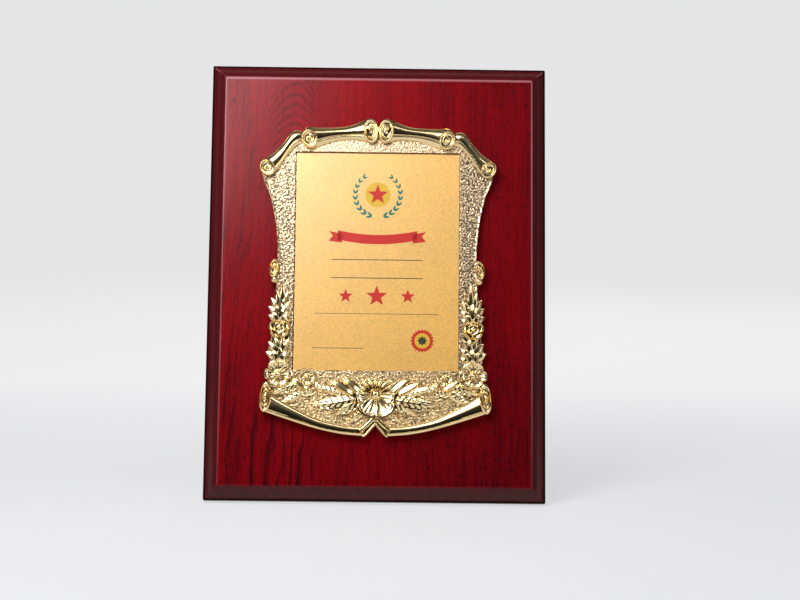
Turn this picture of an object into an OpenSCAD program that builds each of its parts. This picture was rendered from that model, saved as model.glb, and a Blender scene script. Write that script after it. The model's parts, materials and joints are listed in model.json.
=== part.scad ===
// Wooden award plaque that stands on a folding easel leg or hangs by its ring.
// A bevelled fibreboard panel has a wood-grain face, a gilt cast scroll frame round an
// inscription plate, and at the back a hinged leg and a hanging ring.
// The front looks along -Y, +Z is up, and the panel leans back on the opened leg.

/* [Board] */
// Width of the board
board_w = 230; // [200:1:300]
// Height of the board
board_h = 300; // [280:1:380]
// Thickness of the finished board
board_t = 15; // [13:0.5:20]
// Width of the bevel across the face
bevel_w = 10; // [4:0.5:14]
// Depth of the bevel into the thickness
bevel_d = 8; // [3:0.5:10]
// Lean of the board back from upright, in degrees
lean = 15; // [12:1:18]
// Thickness of the wood-grain face sheet
laminate_t = 0.4; // [0.2:0.1:1]
// Thickness of the backing sheet
liner_t = 0.4; // [0.2:0.1:1]
// Margin of the backing sheet inside the board's edges
liner_margin = 5; // [2:0.5:10]

/* [Inscription plate] */
// Width of the plate
plate_w = 111; // [90:1:130]
// Height of the plate
plate_h = 149; // [130:1:165]
// Thickness of the plate
plate_t = 0.8; // [0.4:0.1:1.5]
// Height of the plate's centre above the board's centre
plate_rise = 12; // [0:1:20]
// Depth of the plate's face below the ground of the frame
plate_recess = 1; // [0.4:0.1:2]
// Clearance round the plate in its window
plate_clear = 0.3; // [0.1:0.05:0.6]
// Thickness of the adhesive film under the plate
film_t = 0.2; // [0.1:0.05:0.4]
// Margin of the adhesive film inside the plate's edges
film_margin = 3; // [1:0.5:10]

/* [Scroll frame] */
// Thickness of the casting's tray under the plate
tray_t = 1.2; // [0.8:0.1:2.5]
// Thickness of the foam tape behind the casting
tape_t = 0.8; // [0.5:0.1:1.5]
// Width of a foam tape strip
tape_w = 12; // [6:1:16]
// Reach of the casting's back pocket past the plate's edges
pocket_reach = 5; // [2:0.5:7]
// Height of the upright wall under a roll
roll_wall = 2.5; // [1:0.5:4]
// Least rise of a roll above its wall
roll_lift = 2.2; // [2:0.1:3]
// Further rise of a roll, as a share of its half width
roll_bulge = 0.65; // [0.4:0.05:0.9]
// Height of the flat lip along a roll
lip_h = 5; // [4.5:0.5:7]
// Height of the scroll ends above the face
scroll_h = 7; // [5:0.5:9]
// Rise of the leaves above the ground
leaf_rise = 2; // [1:0.5:4]
// Rise of the flowers above the ground
flower_rise = 2.5; // [1:0.5:5]

/* [Easel leg] */
// Height of the hinge pin up the back from the bottom edge
hinge_up = 195; // [170:1:220]
// Opening of the leg from the back, in degrees
leg_open = 26; // [22:1:28]
// Thickness of the leg
leg_t = 5; // [4:0.5:8]
// Width of the leg at its hinged end
leg_top_w = 46; // [40:1:60]
// Width of the leg where it meets the floor
leg_foot_w = 80; // [60:1:110]
// Radius of the corners at the hinged end of the leg
leg_corner_r = 6; // [2:0.5:12]
// Thickness of the rubber strip on the foot
foot_t = 2; // [1:0.5:4]
// Gap between the folded leg and the back
fold_gap = 0.4; // [0.3:0.1:1.5]

/* [Hinge] */
// Width of the hinge
hinge_w = 40; // [34:1:44]
// Thickness of the hinge leaves
leaf_t = 1.2; // [0.8:0.1:1.5]
// Reach of each hinge leaf from the pin
leaf_reach = 25; // [23:1:32]
// Radius of the hinge pin
pin_r = 2; // [1.2:0.1:2.2]
// Running clearance round the hinge pin
pin_clear = 0.05; // [0.02:0.01:0.1]
// Radius of the pin's formed heads
pin_head_r = 2.8; // [2.5:0.1:3]
// Thickness of the pin's formed heads
pin_head_t = 1; // [0.6:0.1:2]
// Length of the middle knuckle
knuckle_len = 14; // [10:1:18]
// Gap between neighbouring knuckles, and from the knuckles to the back
knuckle_gap = 0.3; // [0.2:0.05:0.6]
// Reach of the stop heel past the pin
heel_reach = 12; // [8:1:16]
// Gap between the stop heel and the fixed leaf when the leg is open
stop_gap = 0.05; // [0.02:0.01:0.2]

/* [Screws] */
// Radius of the screw shanks
screw_r = 1.5; // [1:0.1:1.8]
// Length of the board screws below their heads
board_screw_len = 10; // [6:0.5:11]
// Length of the leg screws below their heads
leg_screw_len = 5; // [3:0.5:5.5]
// Radius of the screw heads
head_r = 3; // [2.5:0.1:3.5]
// Height of the screw heads
head_h = 1.6; // [1:0.1:2.5]
// Width of the driver slots
slot_w = 0.8; // [0.5:0.1:1.2]
// Depth of the driver slots
slot_d = 0.7; // [0.3:0.1:0.9]
// Clearance round the screw shanks
screw_clear = 0.05; // [0.02:0.01:0.2]
// Distance between the two columns of hinge screws
screw_pitch_x = 26; // [24:1:28]
// Distance from the pin to the first row of hinge screws
screw_row_1 = 9; // [8:0.5:10]
// Distance from the pin to the second row of hinge screws
screw_row_2 = 19; // [17:0.5:20]

/* [Hanger] */
// Height of the ring's bar up the back from the bottom edge
hanger_up = 266; // [240:1:270]
// Radius of the ring's arc, to the middle of the wire
ring_r = 11; // [9:0.5:14]
// Radius of the ring's wire
wire_r = 1; // [0.8:0.1:1.3]
// Radius of the ring's bar
bar_r = 1.2; // [1:0.1:1.6]
// Running clearance round the bar
bar_clear = 0.1; // [0.05:0.01:0.1]
// Thickness of the folded strap's sheet
strap_t = 1; // [0.6:0.1:1.2]
// Width of the strap
strap_w = 10; // [8:0.5:12]
// Length of the strap below the bar
strap_len = 26; // [24:1:36]
// Distance from the bar to the strap's screw
strap_screw = 20; // [19:0.5:22]

/* [Hidden] */

$fn = 48;
curve_steps = 10;
over = 1;

wood_colour = [0.45, 0.05, 0.08];
lacquer_colour = [0.22, 0.07, 0.08];
gold_colour = [0.85, 0.72, 0.42];
steel_colour = [0.70, 0.70, 0.72];

// Board levels: z = 0 is the back of the core, and y runs up the board from its bottom edge
straight_t = board_t - bevel_d;
core_t = board_t - laminate_t;
back_z = -liner_t;

// Plate and casting levels above the face
ground_t = tape_t + tray_t + film_t + plate_t + plate_recess;
film_z = board_t + tape_t + tray_t;
plate_z = film_z + film_t;
plate_mid = board_h / 2 + plate_rise;
plate_side = plate_w / 2;
plate_top = plate_mid + plate_h / 2;
plate_foot = plate_mid - plate_h / 2;

// Hinge levels behind the board
knuckle_r = (leaf_t + leg_t + fold_gap) / 2;
pin_z = back_z - knuckle_gap - knuckle_r;
leaf_z = pin_z - knuckle_r + knuckle_gap;
leaf_notch = knuckle_r + knuckle_gap;
leg_z = leaf_z + leaf_t;
outer_knuckle_len = (hinge_w - knuckle_len) / 2 - knuckle_gap;

// Where the pin and the foot lie in the standing pose, before the part is centred
leg_tilt = leg_open - lean;
pin_height = hinge_up * cos(lean) + pin_z * sin(lean);
pin_depth = hinge_up * sin(lean) - pin_z * cos(lean);
foot_depth = pin_depth + pin_height * tan(leg_tilt) + (pin_z - leg_z) / cos(leg_tilt);
leg_len = pin_height / cos(leg_tilt) + leg_t;
front_depth = bevel_w * sin(lean) - board_t * cos(lean);
back_depth = max(foot_depth, board_h * sin(lean));
centre_shift = -(front_depth + back_depth) / 2;

// Hanger levels behind the board
loop_r = bar_r + bar_clear + strap_t;
bar_z = back_z - loop_r - bar_clear;

// Points of the casting, set out from the plate's top and bottom edges.
// across is 0 on the middle line and 1 at the plate's side.
function top_at(across, x, y) = [across * plate_side + x, plate_top + y];
function foot_at(across, x, y) = [across * plate_side + x, plate_foot + y];

// Each roll has an upper edge, a lower edge and the edge of its lip, as three-point curves
// that run outwards from the middle line
roll_crest = [
    [top_at(0, 9, 23.5), top_at(0.5, 1, 15.5), top_at(1, -6, 18)],
    [top_at(0, 9, 13), top_at(0.5, 0, 15), top_at(1, -13, 8.5)],
    [top_at(0, 7, 9.5), top_at(0.5, 0, 12.5), top_at(1, -10, 4)],
];
roll_shoulder = [
    [top_at(1, -2.5, 16), top_at(1, 8, 10), top_at(1, 24, -5)],
    [top_at(1, -2.5, 10.5), top_at(1, 8.5, 2.5), top_at(1, 15.5, -11)],
    [top_at(1, -4, 7), top_at(1, 7, 2.5), top_at(1, 15, -14.5)],
];
roll_base = [
    [foot_at(0, 8, -39), foot_at(0.5, 8, -40), foot_at(1, 15, -13)],
    [foot_at(0, 8, -42), foot_at(0.5, 11, -40), foot_at(1, 16, -26.5)],
    [foot_at(0, 8.5, -44), foot_at(0.5, 11, -42.5), foot_at(1, 18.5, -28.5)],
];
rolls = [roll_crest, roll_shoulder, roll_base];

// Scroll ends: centre, half axes and tilt
scroll_ends = [
    [top_at(0, 5, 17.3), [4.8, 8], 0],
    [top_at(1, -8.5, 10.5), [5.2, 6.5], -20],
    [top_at(1, 19.8, -10.3), [4.4, 6], -30],
    [foot_at(1, 18.3, -18.8), [3.9, 9.8], 5],
];
scroll_turns = 1.6;
scroll_ridge = 0.8;

// The concave side between the shoulder scroll and the bud
waist = [top_at(1, 23, -16.5), top_at(1, 10.5, -42.5), foot_at(1, 12, 77.5)];
side_edge = [foot_at(1, 12.5, 62), foot_at(1, 14, 40), foot_at(1, 16, 15), foot_at(1, 16, -6)];
notch_tip = foot_at(0, 0, -34.5);
notch_rim = [
    foot_at(0, 8.5, -44), foot_at(0, 8.5, -41.5), foot_at(0, 0, -33.2),
    foot_at(0, 0, -35.5), foot_at(0, 7, -44),
];

// The bud on the side: centres and radii of its lobes
bud_lobes = [[foot_at(1, 13, 73), 2], [foot_at(1, 14.8, 67), 3], [foot_at(1, 13.5, 61), 3.2]];

// Leaves: foot, tip and width
leaves = [
    [foot_at(1, 8.5, 35), foot_at(1, 7, 56), 7],
    [foot_at(1, 9.5, 35), foot_at(1, 15.5, 52), 6],
    [foot_at(1, 9.5, 34), foot_at(1, 18, 43), 5.5],
    [foot_at(1, 7.5, 35), foot_at(1, 1.5, 50), 5],
    [foot_at(1, 6.5, 34), foot_at(1, 1.5, 41), 4],
    [foot_at(1, 9.5, 5), foot_at(1, 2, 18), 5],
    [foot_at(1, 10.5, 5), foot_at(1, 10, 21.5), 6],
    [foot_at(1, 11.5, 5), foot_at(1, 18.5, 16.5), 5.5],
    [foot_at(1, 11.5, 4), foot_at(1, 19, 9), 5],
    [foot_at(1, 7.5, 4), foot_at(1, 1.5, 9), 4],
    [foot_at(1, -9.5, -12.5), foot_at(1, 1.5, -5.5), 4],
    [foot_at(1, -5.5, -13.5), foot_at(1, 11.5, -17), 6],
    [foot_at(1, -11.5, -14.5), foot_at(1, 1.5, -20.5), 5],
    [foot_at(0, 20, -19), foot_at(0, 42, -21.5), 9],
    [foot_at(0, 12, -15.5), foot_at(0, 23, -7), 4.5],
    [foot_at(0, 20, -17.5), foot_at(0, 31, -9), 5],
    [foot_at(0, 29, -17), foot_at(0, 41, -11.5), 5],
    [foot_at(0, 12, -21.5), foot_at(0, 24, -29.5), 6],
    [foot_at(0, 9, -28), foot_at(0, 16, -35), 4.5],
];

// Flowers on each side: centre, radius and number of petals
side_flowers = [
    [foot_at(1, 10, 28.5), 7, 5],
    [foot_at(1, 11.5, -4.5), 9, 6],
    [foot_at(1, -9, -5), 6, 5],
];
middle_flower = [foot_at(0, 0, -18), 13, 6];

// A point on a three-point curve, and the row of points along it
function curve_at(p, t) = (1 - t) ^ 2 * p[0] + 2 * t * (1 - t) * p[1] + t ^ 2 * p[2];
function curve(p) = [for (i = [0:curve_steps]) curve_at(p, i / curve_steps)];
function reversed(list) = [for (i = [len(list) - 1:-1:0]) list[i]];
function mirrored(list) = [for (p = reversed(list)) [-p.x, p.y]];
function lifted(p, z) = [p.x, p.y, z];
function turned(p, a) = [p.x * cos(a) - p.y * sin(a), p.x * sin(a) + p.y * cos(a)];

// A line along a roll, at a share of the way from its upper to its lower edge
function roll_line(edges, share) = (1 - share) * curve(edges[0]) + share * curve(edges[1]);

// The ground of the casting runs in under the rolls
ground_share = 0.4;
lip_share = 0.7;
ground_half = concat(
    [top_at(0, 0, 17)], roll_line(roll_crest, ground_share), roll_line(roll_shoulder, ground_share),
    curve(waist), side_edge, reversed(roll_line(roll_base, 1 - ground_share)), [notch_tip]
);
ground_outline = concat(ground_half, mirrored(ground_half));

// Sets children on the leaning board
module on_board() {
    translate([0, centre_shift, 0]) rotate([90 - lean, 0, 0]) children();
}

// Sets children on the opened leg: they are drawn as if the leg were folded flat
module on_leg() {
    on_board()
        translate([0, hinge_up, pin_z]) rotate([leg_open, 0, 0]) translate([0, -hinge_up, -pin_z])
            children();
}

module both_sides() {
    children();
    mirror([1, 0, 0]) children();
}

module along_x(len, r) {
    rotate([0, 90, 0]) cylinder(h = len, r = r, center = true);
}

// How far the bevel has drawn the outline in at height z
function inset(z) = max(0, z - straight_t) * bevel_w / bevel_d;

module slab_profile(length, low, high) {
    knee = low < straight_t ? [straight_t] : [];
    levels = concat([low], knee, [high]);
    polygon(concat(
        [for (z = levels) [length - inset(z), z]],
        [for (z = reversed(levels)) [inset(z), z]]
    ));
}

// A slice of the bevelled board between two heights
module bevelled_slab(low, high) {
    intersection() {
        translate([-board_w / 2, board_h, 0]) rotate([90, 0, 0])
            linear_extrude(board_h) slab_profile(board_w, low, high);
        translate([-board_w / 2, 0, 0]) rotate([90, 0, 90])
            linear_extrude(board_w) slab_profile(board_h, low, high);
    }
}

// A pan-head wood screw driven along +z, with the underside of its head at z = 0
module wood_screw(length) {
    slot_len = head_r * 1.2;
    difference() {
        rotate_extrude() polygon([
            [0, -head_h], [head_r * 0.6, -head_h], [head_r, -head_h / 2], [head_r, 0],
            [screw_r, 0], [screw_r, length - 2 * screw_r], [0, length],
        ]);
        for (a = [0, 90]) rotate(a)
            translate([-slot_len / 2, -slot_w / 2, -head_h - over])
                cube([slot_len, slot_w, slot_d + over]);
    }
}

module screw_hole(length) {
    translate([0, 0, -over]) cylinder(h = length + over, r = screw_r + screw_clear);
}

// Places of the hinge screws: dir is 1 on the board and -1 on the leg
module at_hinge_screws(dir) {
    for (side = [-1, 1], row = [screw_row_1, screw_row_2])
        translate([side * screw_pitch_x / 2, hinge_up + dir * row, 0]) children();
}

module at_strap_screw() {
    translate([0, hanger_up - strap_screw, 0]) children();
}

module board_screw_holes() {
    translate([0, 0, back_z - leaf_t]) at_hinge_screws(1) screw_hole(board_screw_len);
    translate([0, 0, back_z - 2 * strap_t]) at_strap_screw() screw_hole(board_screw_len);
}

module core_board() {
    color(lacquer_colour) on_board() difference() {
        bevelled_slab(0, core_t);
        board_screw_holes();
    }
}

module face_laminate() {
    color(wood_colour) on_board() bevelled_slab(core_t, board_t);
}

module back_liner() {
    color("black") on_board() difference() {
        translate([liner_margin - board_w / 2, liner_margin, back_z])
            cube([board_w - 2 * liner_margin, board_h - 2 * liner_margin, liner_t]);
        board_screw_holes();
    }
}

// A solid skinned over a row of rings that have equal numbers of points
module skin(rings) {
    around = len(rings[0]);
    last = len(rings) - 1;
    sides = [
        for (i = [0:last - 1], j = [0:around - 1])
            let (a = i * around + j, b = i * around + (j + 1) % around)
                each [[a, a + around, b], [b, a + around, b + around]]
    ];
    first_cap = [for (j = [0:around - 1]) j];
    last_cap = [for (j = [around - 1:-1:0]) last * around + j];
    polyhedron([for (ring = rings) each ring], concat([first_cap], sides, [last_cap]));
}

// A rolled edge: a domed band between its two edges, on an upright wall, with a flat lip beside it
module roll(edges) {
    outer = curve(edges[0]);
    inner = curve(edges[1]);
    skin([
        for (i = [0:curve_steps])
            let (mid = (outer[i] + inner[i]) / 2, half = (outer[i] - inner[i]) / 2,
                rise = roll_lift + norm(half) * roll_bulge)
                concat(
                    [lifted(outer[i], 0)],
                    [for (a = [0:22.5:180]) lifted(mid + half * cos(a), roll_wall + rise * sin(a))],
                    [lifted(inner[i], 0)]
                )
    ]);
    linear_extrude(lip_h) polygon(concat(roll_line(edges, lip_share), reversed(curve(edges[2]))));
}

// A scroll end: an oval boss with a spiral ridge on it
module scroll_end(place) {
    steps = 20;
    translate(place[0]) rotate(place[2]) {
        scale([place[1].x, place[1].y, 1]) cylinder(h = scroll_h, r1 = 1, r2 = 0.94, $fn = 20);
        skin([
            for (i = [0:steps])
                let (share = 0.85 - 0.7 * i / steps, a = 360 * scroll_turns * i / steps, r = scroll_ridge,
                    flat = [cos(a) * place[1].x, sin(a) * place[1].y], out = [cos(a), sin(a)])
                    [
                        lifted(share * flat - r * out, scroll_h - r),
                        lifted(share * flat, scroll_h + r),
                        lifted(share * flat + r * out, scroll_h - r),
                    ]
        ]);
    }
}

module bud(lobes) {
    for (i = [0:len(lobes) - 2]) hull() for (lobe = [lobes[i], lobes[i + 1]])
        translate(lobe[0]) {
            cylinder(h = ground_t + lobe[1] / 2, r = lobe[1], $fn = 16);
            cylinder(h = ground_t + lobe[1], r = lobe[1] / 2, $fn = 16);
        }
}

// A leaf with a raised rib, from its foot to its tip
module leaf(foot, tip, width) {
    way = tip - foot;
    length = norm(way);
    rib_r = 0.3;
    translate(foot) rotate(atan2(way.y, way.x)) hull() {
        linear_extrude(ground_t + leaf_rise / 3) polygon([
            [0, 0], [length * 0.35, -width / 2], [length * 0.7, -width / 3],
            [length, 0], [length * 0.7, width / 3], [length * 0.35, width / 2],
        ]);
        for (share = [0.15, 0.75]) translate([length * share, 0, 0])
            cylinder(h = ground_t + leaf_rise, r = rib_r, $fn = 6);
    }
}

// An open flower of domed petals round a button. Each petal sweeps a little to one side.
module flower(place) {
    r = place[1];
    sweep = r * 0.04;
    crown = ground_t + flower_rise;
    translate(place[0]) {
        for (k = [0:place[2] - 1]) rotate(90 + 360 * k / place[2]) hull() {
            translate([r * 0.3, 0, 0]) cylinder(h = ground_t + flower_rise / 2, r = r * 0.19, $fn = 8);
            translate([r * 0.68, sweep, 0]) cylinder(h = ground_t, r = r * 0.32, $fn = 10);
            translate([r * 0.66, sweep, 0]) cylinder(h = crown, r = r * 0.2, $fn = 10);
        }
        cylinder(h = crown, r1 = r * 0.3, r2 = r * 0.2, $fn = 12);
    }
}

// The opening round the plate, and the shallow pocket for the tape behind the casting
module window() {
    translate([0, plate_mid, tape_t + tray_t + ground_t])
        cube([plate_w + 2 * plate_clear, plate_h + 2 * plate_clear, 2 * ground_t], center = true);
}

module tape_pocket() {
    translate([0, plate_mid, 0])
        cube([plate_w + 2 * pocket_reach, plate_h + 2 * pocket_reach, 2 * tape_t], center = true);
}

// The relief is drawn a little deep, and its back is then skimmed flat
module scroll_frame() {
    skim = 0.2;
    color(gold_colour) on_board() translate([0, 0, board_t]) difference() {
        translate([0, 0, -skim]) {
            linear_extrude(ground_t + skim) polygon(ground_outline);
            both_sides() {
                for (edges = rolls) roll(edges);
                for (place = scroll_ends) scroll_end(place);
                bud(bud_lobes);
                for (l = leaves) leaf(l[0], l[1], l[2]);
                for (place = side_flowers) flower(place);
                linear_extrude(lip_h) polygon(notch_rim);
            }
            flower(middle_flower);
        }
        translate([-board_w / 2, 0, -over]) cube([board_w, board_h, over]);
        window();
        tape_pocket();
    }
}

module frame_tape() {
    strip_x = plate_side + pocket_reach - tape_w / 2;
    strip_y = plate_h / 2 + pocket_reach - tape_w / 2;
    color("ivory") on_board() translate([0, plate_mid, board_t + tape_t / 2]) both_sides() {
        translate([strip_x, 0, 0])
            cube([tape_w, 2 * strip_y - 2 * tape_w, tape_t], center = true);
    }
    color("ivory") on_board() translate([0, plate_mid, board_t + tape_t / 2])
        for (end = [-1, 1]) translate([0, end * strip_y, 0])
            cube([2 * strip_x - 2 * tape_w, tape_w, tape_t], center = true);
}

module plate_adhesive() {
    color("white") on_board() translate([0, plate_mid, film_z + film_t / 2])
        cube([plate_w - 2 * film_margin, plate_h - 2 * film_margin, film_t], center = true);
}

module inscription_plate() {
    color([0.93, 0.78, 0.47]) on_board() translate([0, plate_mid, plate_z + plate_t / 2])
        cube([plate_w, plate_h, plate_t], center = true);
}

module hinge_fixed_leaf() {
    outer_mid = (hinge_w - outer_knuckle_len) / 2;
    color(steel_colour) on_board() difference() {
        union() {
            translate([-hinge_w / 2, hinge_up + leaf_notch, back_z - leaf_t])
                cube([hinge_w, leaf_reach - leaf_notch, leaf_t]);
            both_sides() {
                translate([hinge_w / 2 - outer_knuckle_len, hinge_up, back_z - leaf_t])
                    cube([outer_knuckle_len, leaf_reach, leaf_t]);
                translate([outer_mid, hinge_up, pin_z]) along_x(outer_knuckle_len, knuckle_r);
            }
        }
        translate([0, hinge_up, pin_z]) along_x(hinge_w + 2 * over, pin_r + pin_clear);
        translate([0, 0, back_z - leaf_t]) at_hinge_screws(1) screw_hole(leaf_t + over);
    }
}

module hinge_moving_leaf() {
    color(steel_colour) difference() {
        union() {
            on_leg() translate([-hinge_w / 2, hinge_up - leaf_reach, leaf_z])
                cube([hinge_w, leaf_reach - leaf_notch, leaf_t]);
            on_leg() translate([-knuckle_len / 2, hinge_up - leaf_reach, leaf_z])
                cube([knuckle_len, leaf_reach, leaf_t]);
            on_leg() translate([0, hinge_up, pin_z]) along_x(knuckle_len, knuckle_r);
            on_board() translate([-knuckle_len / 2, hinge_up, back_z - 2 * leaf_t - stop_gap])
                cube([knuckle_len, heel_reach, leaf_t]);
        }
        on_leg() translate([0, hinge_up, pin_z]) along_x(hinge_w, pin_r + pin_clear);
        on_leg() translate([0, 0, leaf_z]) at_hinge_screws(-1) screw_hole(leaf_t + over);
    }
}

module hinge_pin() {
    color(steel_colour) on_board() translate([0, hinge_up, pin_z]) {
        along_x(hinge_w + 2 * pin_head_t, pin_r);
        both_sides() translate([(hinge_w + pin_head_t) / 2, 0, 0]) along_x(pin_head_t, pin_head_r);
    }
}

module board_hinge_screws() {
    color("dimgray") on_board() translate([0, 0, back_z - leaf_t])
        at_hinge_screws(1) wood_screw(board_screw_len);
}

module leg_hinge_screws() {
    color("dimgray") on_leg() translate([0, 0, leaf_z]) at_hinge_screws(-1) wood_screw(leg_screw_len);
}

function corner(mid, r, from, to) = [for (i = [0:6]) mid + r * [cos(from + (to - from) * i / 6),
                                                               sin(from + (to - from) * i / 6)]];

// The leg runs on below the floor here; easel_leg and leg_foot each take their own stretch of it
module leg_blank() {
    top = hinge_up - leaf_notch;
    r = leg_corner_r;
    half = [
        for (p = corner([leg_top_w / 2 - r, top - r], r, 90, 0)) p,
        [leg_foot_w / 2, hinge_up - leg_len],
    ];
    on_leg() translate([0, 0, leg_z]) linear_extrude(leg_t) polygon(concat(half, mirrored(half)));
}

// Everything between two heights above the floor
module between(low, high) {
    span = 2 * (board_w + board_h);
    translate([-span / 2, -span / 2, low]) cube([span, span, high - low]);
}

module easel_leg() {
    color(lacquer_colour) difference() {
        intersection() {
            leg_blank();
            between(foot_t, board_h);
        }
        on_leg() translate([0, 0, leaf_z]) at_hinge_screws(-1) screw_hole(leg_screw_len);
    }
}

module leg_foot() {
    color("black") intersection() {
        leg_blank();
        between(0, foot_t);
    }
}

module hanger_strap() {
    color(steel_colour) on_board() difference() {
        union() {
            translate([0, hanger_up, bar_z]) along_x(strap_w, loop_r);
            translate([-strap_w / 2, hanger_up - strap_len, back_z - 2 * strap_t])
                cube([strap_w, strap_len, 2 * strap_t]);
        }
        translate([0, hanger_up, bar_z]) along_x(strap_w + 2 * over, bar_r + bar_clear);
        translate([0, 0, back_z - 2 * strap_t]) at_strap_screw() screw_hole(2 * strap_t + over);
    }
}

module hanger_screw() {
    color("dimgray") on_board() translate([0, 0, back_z - 2 * strap_t])
        at_strap_screw() wood_screw(board_screw_len);
}

// The ring hangs plumb from its bar
module hanger_ring() {
    color(steel_colour) on_board() translate([0, hanger_up, bar_z]) rotate([lean, 0, 0]) {
        along_x(2 * (ring_r + bar_r), bar_r);
        rotate(180) rotate_extrude(angle = 180) translate([ring_r, 0]) circle(r = wire_r);
    }
}

core_board();
face_laminate();
back_liner();
scroll_frame();
frame_tape();
inscription_plate();
plate_adhesive();
hinge_fixed_leaf();
hinge_moving_leaf();
hinge_pin();
board_hinge_screws();
leg_hinge_screws();
easel_leg();
leg_foot();
hanger_strap();
hanger_screw();
hanger_ring();
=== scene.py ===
"""Looks of a wooden award plaque: lacquered board, wood-grain face, gilt scroll frame, plate and hardware.

Sizes on the board are in millimetres, where u runs to the right, v up the board and w out of its face,
all from the middle of the face. Blender objects are in metres in the part's own frame.
"""

from __future__ import annotations

import json
import logging
import math
from dataclasses import dataclass, field
from enum import Enum
from functools import cached_property
from typing import Callable, Iterable, Sequence

import bmesh
import bpy
from mathutils import Euler, Matrix, Vector, noise

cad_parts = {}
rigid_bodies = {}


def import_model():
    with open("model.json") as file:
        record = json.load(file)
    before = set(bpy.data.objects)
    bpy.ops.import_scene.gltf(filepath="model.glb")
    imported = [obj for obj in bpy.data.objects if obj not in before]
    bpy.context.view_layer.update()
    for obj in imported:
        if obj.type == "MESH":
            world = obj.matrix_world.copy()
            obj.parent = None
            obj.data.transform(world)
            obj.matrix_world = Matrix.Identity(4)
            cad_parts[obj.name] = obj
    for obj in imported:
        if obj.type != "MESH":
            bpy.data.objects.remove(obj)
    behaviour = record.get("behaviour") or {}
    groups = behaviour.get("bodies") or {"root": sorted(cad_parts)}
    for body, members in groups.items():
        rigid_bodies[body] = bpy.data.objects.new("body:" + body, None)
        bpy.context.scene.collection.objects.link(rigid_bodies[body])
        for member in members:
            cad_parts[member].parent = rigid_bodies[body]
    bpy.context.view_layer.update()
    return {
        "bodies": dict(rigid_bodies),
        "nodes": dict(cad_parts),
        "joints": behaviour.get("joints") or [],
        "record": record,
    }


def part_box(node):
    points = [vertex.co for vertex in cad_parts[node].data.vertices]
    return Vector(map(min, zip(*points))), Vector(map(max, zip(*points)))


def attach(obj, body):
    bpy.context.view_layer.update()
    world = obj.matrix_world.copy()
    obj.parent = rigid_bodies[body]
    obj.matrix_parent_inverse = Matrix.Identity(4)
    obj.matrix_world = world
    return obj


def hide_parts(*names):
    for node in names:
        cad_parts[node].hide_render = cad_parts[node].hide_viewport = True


LOG = logging.getLogger("plaque")
MM = 0.001

Point2 = tuple[float, float]
Point3 = tuple[float, float, float]
Span = tuple[float, float]
Fade = tuple[float, float, float, float]
Colour = tuple[float, float, float]
Piece = bpy.types.Object
Socket = bpy.types.NodeSocket
Value = float | Colour | Socket


class Level:
    """Heights above the face of the board, in millimetres, of the pieces that lie on it."""

    BACK = -15.0
    CORE_TOP = -0.4
    FACE = 0.0
    TRAY = 1.0
    PLATE_FACE = 3.0
    GROUND = 4.0
    SUNK = 3.2


def lerp(a: float, b: float, share: float) -> float:
    """The value at a share of the way from a to b."""
    return a + (b - a) * share


def smooth_step(low: float, high: float, value: float) -> float:
    """Rises from 0 at low to 1 at high with level ends."""
    share = min(1.0, max(0.0, (value - low) / (high - low)))
    return share * share * (3.0 - 2.0 * share)


def curve_through(points: Sequence[Point2], samples: int) -> list[Point2]:
    """A smooth curve through some points, sampled evenly along its length.

    Args:
        points: The points that the curve passes, in order.
        samples: How many points to return.

    Returns:
        Points along the curve, ends included.
    """
    steps = 16
    padded = [points[0], *points, points[-1]]
    fine: list[Vector] = []
    for a, b, c, d in zip(padded, padded[1:], padded[2:], padded[3:]):
        pa, pb, pc, pd = (Vector(p) for p in (a, b, c, d))
        for k in range(steps):
            t = k / steps
            fine.append(
                0.5 * (2 * pb + (pc - pa) * t + (2 * pa - 5 * pb + 4 * pc - pd) * t**2
                       + (3 * pb - pa - 3 * pc + pd) * t**3)
            )
    fine.append(Vector(points[-1]))
    reach = [0.0]
    for a, b in zip(fine, fine[1:]):
        reach.append(reach[-1] + (b - a).length)
    found: list[Point2] = []
    k = 0
    for i in range(samples):
        want = reach[-1] * i / (samples - 1)
        while k < len(reach) - 2 and reach[k + 1] < want:
            k += 1
        share = (want - reach[k]) / max(reach[k + 1] - reach[k], 1e-9)
        found.append(tuple(fine[k].lerp(fine[k + 1], share)))
    return found


def between(first: Sequence[Point2], second: Sequence[Point2], share: float, samples: int) -> list[Point2]:
    """A curve that runs between two others.

    Args:
        first: Points of the one curve.
        second: Points of the other.
        share: How far over to the second it runs.
        samples: How many points to return.

    Returns:
        Points along the curve.
    """
    pairs = zip(curve_through(first, samples), curve_through(second, samples))
    return [tuple(Vector(a).lerp(Vector(b), share)) for a, b in pairs]


@dataclass(frozen=True)
class BoardFrame:
    """The leaning board's own axes in the part's frame.

    Attributes:
        origin: Middle of the board's face, in metres.
        lean: How far the board leans back from upright, in radians.
    """

    origin: Vector
    lean: float = math.radians(15)

    PLATE_RISE = 12.0
    PLATE_MIDDLE = 2.6

    @classmethod
    def from_plate(cls) -> "BoardFrame":
        """Sets the frame out from the inscription plate, whose box is centred on the plate.

        Returns:
            The board's axes.
        """
        low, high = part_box("inscription_plate")
        frame = cls(origin=(low + high) / 2)
        return cls(origin=frame.at(0, -cls.PLATE_RISE, -cls.PLATE_MIDDLE))

    def at(self, u: float, v: float, w: float) -> Vector:
        """The point of the part's frame, in metres, at a place on the board."""
        s, c = math.sin(self.lean), math.cos(self.lean)
        return self.origin + MM * Vector((u, v * s - w * c, v * c + w * s))


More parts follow.
